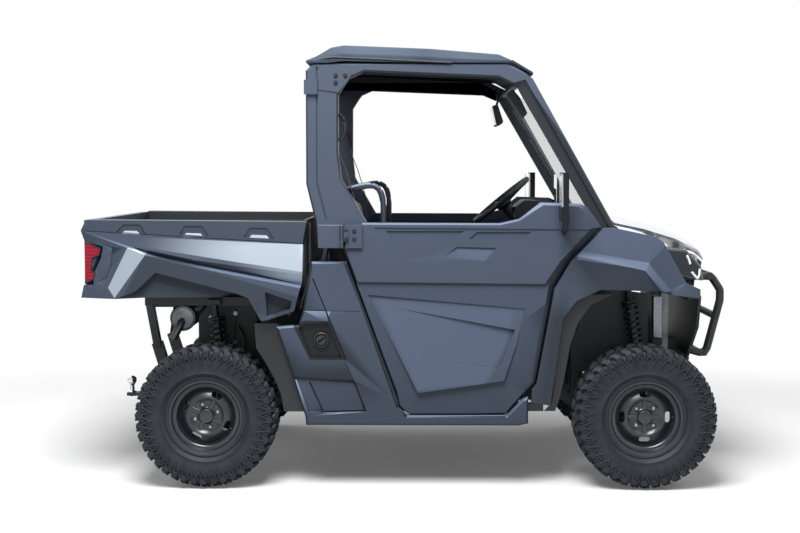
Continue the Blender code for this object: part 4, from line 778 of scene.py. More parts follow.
def floor():
    bpy.ops.object.select_all(action="DESELECT")
    bpy.ops.mesh.primitive_circle_add(vertices=64, radius=60, fill_type="NGON", location=(0, 0, 0))
    obj = bpy.context.object
    obj.name = "floor"
    material = bpy.data.materials.new("paleFloor")
    material.use_nodes = True
    tree = material.node_tree
    shader = tree.nodes["Principled BSDF"]
    shader.inputs["Base Color"].default_value = linear(studio["floorShade"])
    shader.inputs["Roughness"].default_value = 0.9
    coords = addNode(tree, "TexCoord")
    stretch = addNode(tree, "Mapping", {"Vector": coords.outputs["Object"]})
    stretch.inputs["Scale"].default_value = (0.72, 1.0, 1.0)
    distance = addNode(tree, "VectorMath", {0: stretch.outputs["Vector"]}, operation="LENGTH")
    fade = addNode(tree, "MapRange", {"Value": distance.outputs["Value"]}, interpolation_type="SMOOTHSTEP")
    fade.inputs["From Min"].default_value, fade.inputs["From Max"].default_value = studio["floorFade"]
    glow = addNode(tree, "Emission")
    glow.inputs["Color"].default_value = (1, 1, 1, 1)
    path = addNode(tree, "LightPath")
    shade = addNode(tree, "Mix", data_type="RGBA")
    factor, seenShade, sentShade = [i for i in shade.inputs if i.enabled]
    tree.links.new(path.outputs["Is Diffuse Ray"], factor)
    seenShade.default_value, sentShade.default_value = linear(studio["floorShade"]), linear(studio["floorBounce"])
    tree.links.new([o for o in shade.outputs if o.enabled][0], shader.inputs["Base Color"])
    fade.inputs["To Min"].default_value = studio["shadowLift"]
    seen = addNode(tree, "Math", {0: fade.outputs["Result"], 1: path.outputs["Is Camera Ray"]}, operation="MULTIPLY")
    mix = addNode(tree, "MixShader", {0: seen.outputs["Value"], 1: shader.outputs["BSDF"], 2: glow.outputs["Emission"]})
    tree.links.new(mix.outputs["Shader"], tree.nodes["Material Output"].inputs["Surface"])
    obj.data.materials.append(material)


camera()
lamps()
floor()
bpy.context.scene.view_settings.view_transform = "Standard"
print("camera, lamps and floor placed")


# Wheels, drawn about the origin with the outside towards -y, then set on their hubs

def spinCopies(obj, count, axis=(0, 1, 0)):
    # repeats the whole piece evenly round the axis
    pickIn(obj, "VERT", lambda vert: True)
    bpy.ops.mesh.spin(steps=count - 1, dupli=True, angle=2 * math.pi * (count - 1) / count,
                      center=(0, 0, 0), axis=axis)
    closeEdit()
    return obj


def duplicate(obj):
    only(obj)
    bpy.ops.object.duplicate(linked=False)
    return bpy.context.object


def place(obj, move=(0, 0, 0), turned=0.0, axis="Y", mirrored=False):
    only(obj)
    if turned:
        obj.rotation_mode = "XYZ"
        obj.rotation_euler["XYZ".index(axis)] = math.radians(turned)
    if mirrored:
        obj.scale.y = -1
    bpy.ops.object.transform_apply(location=True, rotation=True, scale=True)
    if mirrored:
        pickIn(obj, "VERT", lambda vert: True)
        closeEdit(outward=True)
    obj.location = move
    bpy.ops.object.transform_apply(location=True, rotation=True, scale=True)
    return obj


tread = {
    "rows": 20,
    "stretch": 1.3,       # of every lug, along the tread
    "shortTurn": 9.04,    # degrees from the long lug to the short one
    "crown": 0.3254,      # outer radius of the lugs
    "floor": 0.306,       # radius the lugs stand on, a little inside the casing
    # plan corners of each lug: along the tread, share of the half width; both in order round the block
    "centreLug": [(-0.021, 0.05), (-0.004, 0.05), (0.014, 0.30), (0.014, 0.44), (0.001, 0.50), (-0.008, 0.40),
                  (-0.008, 0.30), (-0.021, 0.16)],
    "longLug": [(-0.014, 0.56), (0.006, 0.50), (0.006, 0.72), (0.017, 0.82), (0.017, 1.005), (-0.003, 1.005),
                (-0.003, 0.88), (-0.014, 0.78)],
    "shortLug": [(-0.0155, 0.60), (0.0025, 0.56), (0.0025, 0.70), (0.0155, 0.84), (0.0155, 0.985), (-0.0035, 0.985),
                 (-0.0035, 0.88), (-0.0155, 0.76)],
    # how the tops fall away over the shoulder: share of the half width, radius
    "shoulder": [(0.72, 0.3249), (0.80, 0.3234), (0.90, 0.3160), (1.10, 0.3020)],
    "chevrons": [
        [(-0.036, 0.292), (-0.014, 0.238), (0.008, 0.292), (0.001, 0.298), (-0.014, 0.256), (-0.029, 0.298)],
        [(-0.025, 0.298), (-0.014, 0.268), (-0.003, 0.298), (-0.008, 0.303), (-0.014, 0.284), (-0.020, 0.303)],
    ],
}


def lugBlock(corners, half, foot, top, shoulder):
    obj = chain([(s * tread["stretch"], -share * half, foot) for s, share in corners])
    bpy.ops.mesh.select_all(action="SELECT")
    bpy.ops.mesh.edge_face_add()
    bpy.ops.mesh.extrude_region_move(TRANSFORM_OT_translate={"value": (0, 0, top - foot)})
    closeEdit(outward=True)
    edge = 0.0
    for share, radius in shoulder:
        def inBand(vert, edge=edge, share=share):
            return edge < -vert.co.y / half <= share and vert.co.z > (foot + top) / 2
        if edge and any(inBand(vert) for vert in obj.data.vertices):
            pickIn(obj, "VERT", inBand)
            bpy.ops.transform.translate(value=(0, 0, radius - top))
            closeEdit()
        edge = share
    pickIn(obj, "VERT", lambda vert: -vert.co.y / half > 0.95 and vert.co.z < top - 0.020)
    bpy.ops.transform.translate(value=(0, 0, 0.283 - foot))
    closeEdit()
    return obj


def tyreModel(width):
    half = width / 2
    # section: radius, share of the half width, from the outer bead over the tread to the inner bead
    side = [
        (0.1585, 0.62), (0.1640, 0.74), (0.1725, 0.775), (0.1790, 0.80), (0.1830, 0.80), (0.1870, 0.775), (0.2000, 0.865),
        (0.2040, 0.895), (0.2065, 0.880), (0.2250, 0.920), (0.2450, 0.945), (0.2650, 0.950), (0.2850, 0.930),
        (0.2980, 0.880), (0.3060, 0.780), (0.3095, 0.500), (0.3105, 0.0),
    ]
    section = [(r, -t * half) for r, t in side] + [(r, t * half) for r, t in reversed(side[:-1])]
    casing = turn(section + [(0.1565, 0.60 * half), (0.1565, -0.60 * half)], (0, 0, 0), "Y", 96, closed=True)
    smooth(casing, 60)
    blocks = []
    for name, top in (("centreLug", tread["crown"]), ("longLug", tread["crown"]), ("shortLug", tread["crown"] - 0.0015)):
        block = lugBlock(tread[name], half, tread["floor"], top, tread["shoulder"])
        softenEdges(block, 0.0028, 2, 40)
        if name == "shortLug":
            place(block, turned=tread["shortTurn"])
        blocks.append(block)
    for turned in (0.0, tread["shortTurn"]):
        for outline in tread["chevrons"]:
            rib = panel(outline, -0.86 * half, -1.0 * half)
            softenEdges(rib, 0.0012, 1, 40)
            blocks.append(place(rib, turned=turned))
    pitch = join(*blocks)
    far = place(duplicate(pitch), mirrored=True)
    far = place(far, turned=360 / tread["rows"] / 2)
    lugs = spinCopies(join(pitch, far), tread["rows"])
    return join(casing, lugs)


wheelSize = {
    # front and rear: tyre width, rim width, turn of the slots as in the photograph
    "front": (0.230, 0.170, 0.0),
    "rear": (0.270, 0.200, 27.0),
    "slotRadius": 0.103, "slotLength": 0.050, "slotHeight": 0.024,
    "nutCircle": 0.0545, "nutAcross": 0.021, "capRadius": 0.033,
}


def rimModel(width):
    size = wheelSize
    outer = -width / 2
    hub = outer + 0.050
    # pressed section from the lip to the hub, then back along the inside of the metal
    section = [
        (0.1560, outer + 0.012), (0.1575, outer + 0.006), (0.1675, outer + 0.004), (0.1690, outer + 0.001),
        (0.1675, outer - 0.0015), (0.1640, outer - 0.002), (0.1590, outer + 0.0005), (0.1540, outer + 0.0100),
        (0.1515, outer + 0.0130), (0.1480, outer + 0.0130), (0.1445, outer + 0.0110), (0.1390, outer + 0.0110),
        (0.1355, outer + 0.0140), (0.1335, outer + 0.0240), (0.1325, outer + 0.0420), (0.1290, outer + 0.0470),
        (0.1200, outer + 0.0440), (0.1020, outer + 0.0330), (0.0900, outer + 0.0255), (0.0840, outer + 0.0245),
        (0.0780, outer + 0.0275), (0.0700, outer + 0.0350), (0.0620, outer + 0.0365), (0.0400, outer + 0.0360),
        (0.0280, outer + 0.0340), (0.0280, hub), (0.0800, hub), (0.0860, outer + 0.030), (0.1020, outer + 0.037),
        (0.1200, outer + 0.048), (0.1290, outer + 0.051), (0.1370, outer + 0.050), (0.1400, -outer - 0.030),
        (0.1500, -outer - 0.020), (0.1510, -outer - 0.004), (0.1670, -outer - 0.003), (0.1670, -outer),
        (0.1700, -outer), (0.1700, -outer - 0.006), (0.1560, -outer - 0.008),
    ]
    rim = turn(section, (0, 0, 0), "Y", 96, closed=True)
    bpy.ops.object.select_all(action="DESELECT")
    bpy.ops.mesh.primitive_cylinder_add(vertices=24, radius=size["slotHeight"] / 2, depth=0.1,
                                        rotation=(math.pi / 2, 0, 0), location=(0, hub, size["slotRadius"]))
    slot = bpy.context.object
    bpy.ops.object.transform_apply(location=True, rotation=True, scale=True)
    for way in (-1, 1):
        pickIn(slot, "VERT", lambda vert: vert.co.x * way > 0.001)
        bpy.ops.transform.translate(value=(way * (size["slotLength"] - size["slotHeight"]) / 2, 0, 0))
        closeEdit()
    bpy.ops.object.select_all(action="DESELECT")
    bpy.ops.mesh.primitive_cylinder_add(vertices=24, radius=0.0165, depth=0.012, rotation=(math.pi / 2, 0, 0),
                                        location=(0, outer + 0.0330, size["nutCircle"]))
    well = bpy.context.object
    place(well)
    wells = spinCopies(well, 4)
    cut(rim, place(spinCopies(slot, 4), turned=0.0), place(wells, turned=45.0))
    softenEdges(rim, 0.0012, 2, 40)
    # pressed ribs of the cross between the nuts
    ribs = panel([(-0.013, 0.030), (0.013, 0.030), (0.008, 0.078), (-0.008, 0.078)], outer + 0.0290, outer + 0.0370)
    softenEdges(ribs, 0.004, 3, 30)
    ribs = spinCopies(ribs, 4)
    # wheel nuts, each with its cone
    nut = turn([(0.0, -0.011), (0.0065, -0.011), (0.0095, -0.008), (0.0100, 0.0), (0.0130, 0.003), (0.0130, 0.006), (0.0, 0.006)],
               (0, outer + 0.0390, size["nutCircle"]), "Y", 6)
    smooth(nut, 20)
    nuts = place(spinCopies(nut, 4), turned=45.0)
    cap = turn([(0.0, outer + 0.0145), (0.026, outer + 0.0145), (0.0315, outer + 0.0165), (size["capRadius"], outer + 0.022),
                (size["capRadius"], outer + 0.040), (0.0, outer + 0.040)], (0, 0, 0), "Y", 48)
    softenEdges(cap, 0.0015, 2, 30)
    ring = turn([(0.0345, outer + 0.0345), (0.0375, outer + 0.0320), (0.0405, outer + 0.0345), (0.0375, outer + 0.0380)],
                (0, 0, 0), "Y", 48, closed=True)
    smooth(ring, 50)
    valve = pipe([(0.128, outer + 0.046, 0.0), (0.126, outer + 0.022, 0.0)], 0.0042, sides=2)
    return join(rim, ribs, cap, ring, valve), nuts


def wheels():
    for end, axleX in (("front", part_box("front_rim_right")), ("rear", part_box("rear_rim_right"))):
        tyreWidth, rimWidth, slotTurn = wheelSize[end]
        low, high = axleX
        hubX, hubZ = (low[0] + high[0]) / 2, (low[2] + high[2]) / 2
        hubY = -(0.780 - tyreWidth / 2)
        tyreMesh = tyreModel(tyreWidth)
        rimMesh, nuts = rimModel(rimWidth)
        place(rimMesh, turned=slotTurn)
        place(nuts, turned=slotTurn)
        for word, side in sides.items():
            body = end + "_wheel_" + word
            for model, part, material, slot in (
                (tyreMesh, "tyre", "rubber", "tyre_rubber"), (rimMesh, "rim", "wheel", "wheel_steel"),
                (nuts, "wheelNuts", "bright", "bright_steel"),
            ):
                piece = place(duplicate(model), (hubX, -side * hubY, hubZ), mirrored=side == left)
                if part == "wheelNuts":
                    dress(piece, end + "_" + part + "_" + word, finish[material], body)
                else:
                    node = end + "_" + part + "_" + word
                    dress(piece, node + "_finished", finish[material], body, [node])
        for model in (tyreMesh, rimMesh, nuts):
            bpy.data.objects.remove(model)
    print("wheels made")


wheels()

# CAD nodes that keep their shape get crisp edges and their finish

dressed = {
    # node: finish, slot, width of the edge round
    "roll_cage": ("cage", "slate_moulded_panel", 0.003),
    "roof": ("roof", "slate_moulded_panel", 0.006),
    "cab_tub": ("dark", "black_textured_plastic", 0.004),
    "dashboard": ("dark", "black_textured_plastic", 0.010),
    "nose": ("dark", "black_textured_plastic", 0.003),
    "bull_bar": ("blackSteel", "painted_black_steel", 0.0),
    "skid_plate": ("dark", "black_textured_plastic", 0.003),
    "radiator": ("aluminium", "cast_aluminium", 0.002),
    "engine": ("aluminium", "cast_aluminium", 0.006),
    "fuel_cap": ("dark", "black_textured_plastic", 0.002),
    "front_drive": ("blackSteel", "painted_black_steel", 0.003),
    "rear_drive": ("blackSteel", "painted_black_steel", 0.003),
    "hood": ("silver", "silver_painted_panel", 0.003),
    "steering_wheel": ("dark", "painted_black_steel", 0.0),
    "bed": ("dark", "black_textured_plastic", 0.003),
    "tailgate": ("slate", "slate_moulded_panel", 0.005),
    "frame": ("blackSteel", "painted_black_steel", 0.002),
    "windshield": ("glass", "windshield_glass", 0.0),
}
dressedPairs = {
    "hinge_bracket": ("cage", "slate_moulded_panel", 0.002),
    "front_fender": ("fender", "slate_moulded_panel", 0.004),
    "headlight": ("lamp", "lamp_lens", 0.003),
    "front_arm": ("blackSteel", "painted_black_steel", 0.001),
    "rear_arm": ("blackSteel", "painted_black_steel", 0.001),
    "knuckle": ("blackSteel", "painted_black_steel", 0.001),
    "rear_liner": ("dark", "black_textured_plastic", 0.001),
}
bodyOf = {node: body for body, nodes in record["behaviour"]["bodies"].items() for node in nodes}


def dressNode(node, look, width):
    if width:
        obj = copyOfNode(node)
        softenEdges(obj, width)
        dress(obj, node + "_finished", finish[look], bodyOf[node], [node])
    else:
        obj = frame["nodes"][node]
        obj.data.materials.clear()
        obj.data.materials.append(finish[look])


for node, (look, slot, width) in dressed.items():
    dressNode(node, look, width)
for kind, (look, slot, width) in dressedPairs.items():
    for word in sides:
        dressNode(kind + "_" + word, look, width)
print("CAD nodes dressed")

# Bed side

bedRail = {
    # outline of each hollow in the rail, then its silver foot
    "hollows": [
        [(-1.324, 1.172), (-1.291, 1.205), (-1.216, 1.205), (-1.188, 1.163)],
        [(-1.038, 1.160), (-1.012, 1.199), (-0.932, 1.197), (-0.904, 1.153)],
        [(-0.746, 1.148), (-0.718, 1.191), (-0.638, 1.189), (-0.608, 1.141)],
    ],
    "feet": [
        [(-1.304, 1.161), (-1.285, 1.177), (-1.231, 1.176), (-1.214, 1.160)],
        [(-1.022, 1.149), (-1.006, 1.167), (-0.942, 1.165), (-0.924, 1.146)],
        [(-0.729, 1.136), (-0.709, 1.159), (-0.641, 1.156), (-0.623, 1.132)],
    ],
    "railSeam": [(-1.470, 1.176), (-0.470, 1.119)],
    "lampCrease": [(-1.385, 1.116), (-1.340, 1.100), (-1.350, 1.015), (-1.372, 0.962), (-1.415, 0.942)],
    "lampEdge": [(-1.466, 1.128), (-1.396, 1.096), (-1.403, 1.066), (-1.434, 1.055), (-1.440, 0.996), (-1.423, 0.986),
                 (-1.432, 0.955), (-1.468, 0.942)],
}


def bedSide():
    side = copyOfNode("bed_side_right")
    softenEdges(side, 0.003)
    feet = []
    for hollow, foot in zip(bedRail["hollows"], bedRail["feet"]):
        floor = pocket(side, hollow, 0.005, 0.002)
        plate = panel(foot, floor + 0.001, floor - 0.0045)
        pickIn(plate, "VERT", lambda vert: vert.co.z > foot[0][1] + 0.008 and vert.co.y < floor - 0.002)
        bpy.ops.transform.translate(value=(0, 0.0022, 0))
        closeEdit()
        softenEdges(plate, 0.0008, 1)
        feet.append(plate)
    groove(side, [bedRail["railSeam"]], 0.0030, 0.006)
    groove(side, [bedRail["lampCrease"]], 0.0022, 0.003)
    evenNormals(side)
    pair(side, "bed_side_finished", "bedSide", "bed", "bed_side")
    pair(join(*feet), "railFeet", "silver", "bed")
    lens = panel(bedRail["lampEdge"], -0.715, -0.7398)
    softenEdges(lens, 0.002)
    bezel = copyOfNode("tail_lamp_right")
    pickIn(bezel, "VERT", lambda vert: vert.co.y < -0.72)
    bpy.ops.transform.translate(value=(0, 0.006, 0))
    closeEdit()
    pair(bezel, "tailLampBezel", "slate", "bed")
    pair(lens, "tailLens", "red", "bed", "tail_lamp")
    edge = pipe([(x, -0.7405, z) for x, z in bedRail["lampEdge"]], 0.0028, sides=2)
    pair(edge, "tailLampEdge", "seal", "bed")
    print("bed sides made")


bedSide()

# Cab side: seams, filler, step

cabSeams = {
    "thin": [
        [(-0.476, 0.816), (-0.220, 0.812)],
        [(-0.322, 1.110), (-0.216, 0.840), (-0.054, 0.376), (-0.012, 0.329), (0.440, 0.329), (0.520, 0.430)],
    ],
    "wide": [[(-0.433, 0.962), (-0.284, 0.592)]],
    "stepTop": [[(-0.520, 0.508), (-0.246, 0.492)]],
    "step": [[(-0.449, 0.487), (-0.388, 0.351), (-0.194, 0.356), (-0.246, 0.490)]],
    "sealLine": [(-0.449, 1.212), (-0.449, 0.992), (-0.470, 0.905), (-0.494, 0.822)],
    "doorSeal": [(-0.290, 1.095), (-0.040, 0.386), (0.003, 0.341), (0.444, 0.342), (0.573, 0.486), (0.640, 0.856),
                 (0.651, 0.920), (0.726, 1.046), (0.862, 1.190)],
}
filler = {"place": (-0.396, -0.745, 0.681), "radius": 0.036, "ribs": 22}


def cabSide():
    side = copyOfNode("cab_side_right")
    softenEdges(side, 0.003)
    groove(side, cabSeams["thin"], 0.0024, 0.006)
    groove(side, cabSeams["wide"], 0.0065, 0.014)
    groove(side, cabSeams["stepTop"], 0.0150, 0.014)
    groove(side, cabSeams["step"], 0.0075, 0.012)
    evenNormals(side)
    pair(side, "cab_side_finished", "cabSide", "root", "cab_side")
    seal = join(pipe([(x, -0.694, z) for x, z in cabSeams["sealLine"]], 0.0080, 0.01, 3, 3),
                pipe([(x, -0.6915, z) for x, z in cabSeams["doorSeal"]], 0.0098, 0.015, 3, 3))
    pair(seal, "bedGapSeal", "seal", "root")
    # filler cap with a ribbed rim and a grip bar
    cx, cy, cz = filler["place"]
    r = filler["radius"]
    cap = turn([(0.0, 0.002), (0.019, 0.002), (0.023, 0.000), (0.031, 0.000), (r * 0.93, 0.004), (r * 0.93, 0.030),
                (r * 0.99, 0.034), (r * 0.99, 0.060), (0.0, 0.060)], (cx, cy, cz), "Y", 64)
    smooth(cap)
    rib = block((-0.0018, cy + 0.004, r * 0.90), (0.0018, cy + 0.028, r * 0.985))
    softenEdges(rib, 0.0006, 1)
    ribs = place(spinCopies(rib, filler["ribs"]), (cx, 0, cz))
    grip = block((-0.021, cy - 0.000, -0.0055), (0.021, cy + 0.006, 0.0055))
    softenEdges(grip, 0.0025, 2)
    grip = place(grip, (cx, -0.0, cz), turned=-35)
    pair(join(cap, ribs, grip), "filler", "dark", "root")
    print("cab sides made")


cabSide()

# Doors

doorSeams = {
    "thin": [[(-0.208, 0.950), (0.280, 0.945), (0.560, 0.952), (0.648, 0.950)]],
    "hingeBolts": [(-0.279, 1.176), (-0.244, 1.176), (-0.279, 1.140), (-0.244, 1.140)],
}


def doors():
    door = copyOfNode("door_right")
    softenEdges(door, 0.003)
    groove(door, doorSeams["thin"], 0.0030, 0.005)
    evenNormals(door)
    bolts = [bolt((x, skin(door, x, z), z), 0.0075) for x, z in doorSeams["hingeBolts"]]
    pair(door, "door_finished", "door", "door_{}", "door")
    pair(join(*bolts), "hingeBolts", "blackSteel", "door_{}")
    print("doors made")


doors()

# Springs and dampers

shockSize = {
    # foot, top, spring radius, wire, turns, height of the lower spring seat
    "front": ((1.125, -0.440, 0.2885), (1.045, -0.400, 0.8855), 0.034, 0.0055, 12, 0.240),
    "rear": ((-0.866, -0.440, 0.3025), (-0.926, -0.440, 0.8112), 0.034, 0.0055, 10, 0.190),
}


def shocks():
    for end in ("front", "rear"):
        foot, top, radius, wire, turns, seat = shockSize[end]
        length = (Vector(top) - Vector(foot)).length
        damper = turn([(0.0, 0.001), (0.014, 0.001), (0.014, 0.030), (0.020, 0.034), (0.020, 0.050), (0.0085, 0.052),
                       (0.0085, seat - 0.040), (0.0200, seat - 0.036), (0.0200, length - 0.060),
                       (0.016, length - 0.050), (0.016, length - 0.001), (0.0, length - 0.001)], (0, 0, 0), "Z", 24)
        perches = [turn([(0.012, z), (radius + 0.007, z), (radius + 0.007, z + 0.005), (0.012, z + 0.009)],
                        (0, 0, 0), "Z", 28, closed=True) for z in (seat, length - 0.066)]
        for piece in [damper] + perches:
            smooth(piece, 35)
        spring = coil((0, 0), seat + 0.010, length - 0.070, radius, wire, turns)
        stem = turn([(0.0, 0.054), (0.0088, 0.054), (0.0088, seat - 0.042), (0.0, seat - 0.042)],
                    (0, 0, 0), "Z", 20)
        for part, look, slot, node in ((join(damper, *perches, spring), "blackSteel", "painted_black_steel", end + "_shock"),
                                       (stem, "bright", "bright_steel", None)):
            pair(stand(part, foot, top), end + ("Damper" if node else "DamperRod"), look, "root", node)
    print("springs made")


shocks()

# Seats: foam pads under vinyl

pads = {
    "cushion": {"outline": [(-0.285, 0.712), (0.118, 0.712), (0.146, 0.748), (0.126, 0.800), (0.060, 0.808), (-0.285, 0.800)],
                "across": (-0.566, -0.074), "limit": 0.012},
    "back": {"outline": [(-0.300, 0.822), (-0.244, 0.822), (-0.228, 0.905), (-0.282, 1.290), (-0.326, 1.312),
                         (-0.352, 1.290), (-0.372, 0.900)], "across": (-0.566, -0.074), "limit": 0.012},
    "voxel": 0.0060, "pressure": 4.0,
    "cushionWelt": [(-0.250, -0.520), (0.085, -0.520), (0.105, -0.500), (0.105, -0.140), (0.085, -0.120), (-0.250, -0.120)],
    "backWelt": [(-0.520, 0.860), (-0.520, 1.235), (-0.495, 1.262), (-0.145, 1.262), (-0.120, 1.235), (-0.120, 0.860)],
}


def padOf(shape):
    pad = panel(shape["outline"], *reversed(shape["across"]))
    softenEdges(pad, 0.016, 3, 20)
    modify(pad, "REMESH", mode="VOXEL", voxel_size=pads["voxel"])
    before = [vert.co.copy() for vert in pad.data.vertices]
    only(pad)
    cloth = pad.modifiers.new("cloth", "CLOTH")
    cloth.settings.use_pressure = True
    cloth.settings.uniform_pressure_force = pads["pressure"]
    cloth.settings.effector_weights.gravity = 0
    cloth.point_cache.frame_end = 20
    for number in range(1, 21):
        bpy.context.scene.frame_set(number)
    bpy.ops.object.modifier_apply(modifier=cloth.name)
    for vert, start in zip(pad.data.vertices, before):
        move = vert.co - start
        if move.length > shape["limit"]:
            vert.co = start + move * (shape["limit"] / move.length)
    bpy.context.scene.frame_set(1)
    smooth(pad, 80)
    return pad


def onto(obj, dots, way):
    # points dropped along a direction on to the piece
    landed = []
    for dot in dots:
        hit, where, normal, face = obj.ray_cast(dot, way)
        if hit:
            landed.append(tuple(where))
    return landed


def between(points, step=0.02):
    dots = []
    for a, b in zip(points, points[1:]):
        a, b = Vector(a), Vector(b)
        count = max(1, round((b - a).length / step))
        dots += [tuple(a + (b - a) * k / count) for k in range(count)]
    return dots + [tuple(points[-1])]


def seats():
    welts = {}
    for name in ("cushion", "back"):
        pad = padOf(pads[name])
        if name == "cushion":
            dots = between([(x, y, 1.0) for x, y in pads["cushionWelt"]])
            seams = [pipe(onto(pad, dots, (0, 0, -1)), 0.0030, sides=1)]
            for x in (-0.150, -0.040):
                seams.append(pipe(onto(pad, between([(x, -0.500, 1.0), (x, -0.140, 1.0)]), (0, 0, -1)), 0.0016, sides=1))
        else:
            dots = between([(0.0, y, z) for y, z in pads["backWelt"]])
            seams = [pipe(onto(pad, dots, (-1, 0, 0)), 0.0030, sides=1)]
            for z in (0.980, 1.100):
                seams.append(pipe(onto(pad, between([(0.0, -0.500, z), (0.0, -0.140, z)]), (-1, 0, 0)), 0.0016, sides=1))
        both = pair(pad, name + "Pad", "vinyl", "root", "seat_" + name)
        pair(join(*seams), name + "Welt", "seal", "root")
    print("seats made")


seats()

# Cab interior, cage fittings and mirrors

cabParts = {
    "hoop": [(-0.345, 1.345), (-0.285, 1.362), (-0.196, 1.386), (-0.149, 1.380), (-0.119, 1.338), (-0.119, 1.080)],
    "grabHandle": [(-0.315, 1.706), (-0.297, 1.690), (-0.291, 1.655), (-0.293, 1.615), (-0.315, 1.582)],
    "belt": [(-0.350, 1.660), (-0.320, 1.527), (-0.291, 1.456), (-0.262, 1.360), (-0.235, 1.260), (-0.222, 1.120)],
    "coverBolts": [(-0.329, 1.875), (-0.285, 1.875), (-0.329, 1.843), (-0.257, 1.804), (-0.224, 1.804), (-0.257, 1.775)],
    "roofLip": [(-0.396, 1.950), (-0.339, 1.958), (-0.167, 1.950), (0.254, 1.930), (0.382, 1.924)],
    "railShadeSheet": [(-0.430, 1.895), (0.400, 1.862), (0.470, 1.832), (0.470, 1.885), (0.380, 1.935), (-0.380, 1.970), (-0.430, 1.930)],
    "wiperMotor": [(0.449, 1.800), (0.478, 1.824), (0.512, 1.786), (0.548, 1.712), (0.528, 1.690), (0.492, 1.744)],
    "dashHood": [(0.545, 1.196), (0.556, 1.262), (0.598, 1.296), (0.676, 1.292), (0.690, 1.232), (0.660, 1.215)],
}


def cabFittings():
    size = cabParts
    cage = bpy.data.objects["roll_cage_finished"]
    hoop = pipe([(x, -0.560, z) for x, z in size["hoop"]], 0.0125, 0.03, 5, 4)
    pair(hoop, "hipHoop", "cage", "root")
    handle = pipe([(x, -0.630, z) for x, z in size["grabHandle"]], 0.0085, 0.02, 4, 3)
    dress(handle, "grabHandle", finish["dark"], "root")
    # a thin black sheet inside the roof rail that stands for the shade under the roof and hides the gaps
    shadeSheet = panel(size["railShadeSheet"], -0.640, -0.648)
    pair(shadeSheet, "roofRailTrim", "dark", "root")
    belt = panel(stripOutline(size["belt"], 0.0028), -0.590, -0.634)
    pair(belt, "shoulderBelt", "seal", "root")
    lip = pipe(laid(bpy.data.objects["roof_finished"], size["roofLip"], 0.0), 0.0042, sides=2)
    pair(lip, "roofDripSeal", "seal", "root")
    bolts = []
    for x, z in size["coverBolts"]:
        y = skin(cage, x, z)
        if y is not None:
            bolts.append(bolt((x, y, z), 0.0085))
    pair(join(*bolts), "cageBolts", "blackSteel", "root")
    glass = block((0.6485, -0.8935, 1.300), (0.6515, -0.790, 1.432))
    softenEdges(glass, 0.001, 1)
    pair(glass, "mirrorGlass", "mirror", "door_{}")
    # interior mirror on its stalk
    mirror = panel([(0.410, 1.769), (0.437, 1.778), (0.466, 1.690), (0.456, 1.678), (0.432, 1.670)], 0.105, -0.105, 0.006)
    softenEdges(mirror, 0.004, 3)
    stalk = pipe([(0.436, 0.0, 1.760), (0.440, 0.0, 1.790), (0.470, 0.0, 1.848)], 0.006, 0.008, 3, 3)
    dress(join(mirror, stalk), "interiorMirror", finish["dark"], "root")
    face = block((0.402, -0.098, 1.676), (0.418, 0.098, 1.764))
    pickIn(face, "VERT", lambda vert: vert.co.z < 1.70)
    bpy.ops.transform.translate(value=(0.0215, 0, 0))
    closeEdit()
    dress(face, "interiorMirrorGlass", finish["mirror"], "root")
    # wiper motor with its linkage, inside the right-hand pillar
    motor = panel(size["wiperMotor"], -0.560, -0.470, 0.006)
    softenEdges(motor, 0.006, 3)
    strut = pipe([(0.478, -0.600, 1.722), (0.566, -0.600, 1.590)], 0.0085, sides=3)
    lower = pipe([(0.555, -0.600, 1.594), (0.660, -0.600, 1.425)], 0.0120, sides=3)
    dress(join(motor, strut, lower), "pillarTrim", finish["dark"], "root")
    # instrument hood in front of the driver, with its screen
    hood = panel(size["dashHood"], 0.490, 0.215, 0.012)
    softenEdges(hood, 0.010, 3)
    dress(hood, "instrumentHood", finish["dark"], "root")
    screen = block((0.550, 0.275, 1.222), (0.556, 0.430, 1.262))
    softenEdges(screen, 0.001, 1)
    dress(screen, "instrumentScreen", finish["lamp"], "root")
    print("cab fittings made")


cabFittings()

# Underside: exhaust, splash panels, hoses, hitch ball, arch liners

underside = {
    "splash": [(-1.020, 0.480), (-0.450, 0.480), (-0.450, 0.800), (-0.975, 0.800), (-1.020, 0.740)],
    "hoseA": [(-0.890, 0.735), (-0.918, 0.690), (-0.930, 0.630), (-0.910, 0.560), (-0.860, 0.520)],
    "hoseB": [(-0.828, 0.700), (-0.798, 0.660), (-0.790, 0.610), (-0.812, 0.560), (-0.860, 0.535)],
    "tailPipe": [(-1.094, -0.330, 0.737), (-1.106, -0.352, 0.706), (-1.142, -0.376, 0.636)],
    "archFlange": [(0.621, 0.350), (0.657, 0.387), (0.686, 0.735), (0.706, 0.804), (0.740, 0.845), (0.808, 0.886),
                   (0.930, 0.888), (0.830, 0.836), (0.775, 0.760), (0.740, 0.660), (0.712, 0.500), (0.690, 0.400),
                   (0.672, 0.350)],
    "archCurve": [(0.930, 0.888), (0.830, 0.836), (0.775, 0.760), (0.740, 0.660), (0.712, 0.500), (0.690, 0.400),
                  (0.672, 0.350)],
}


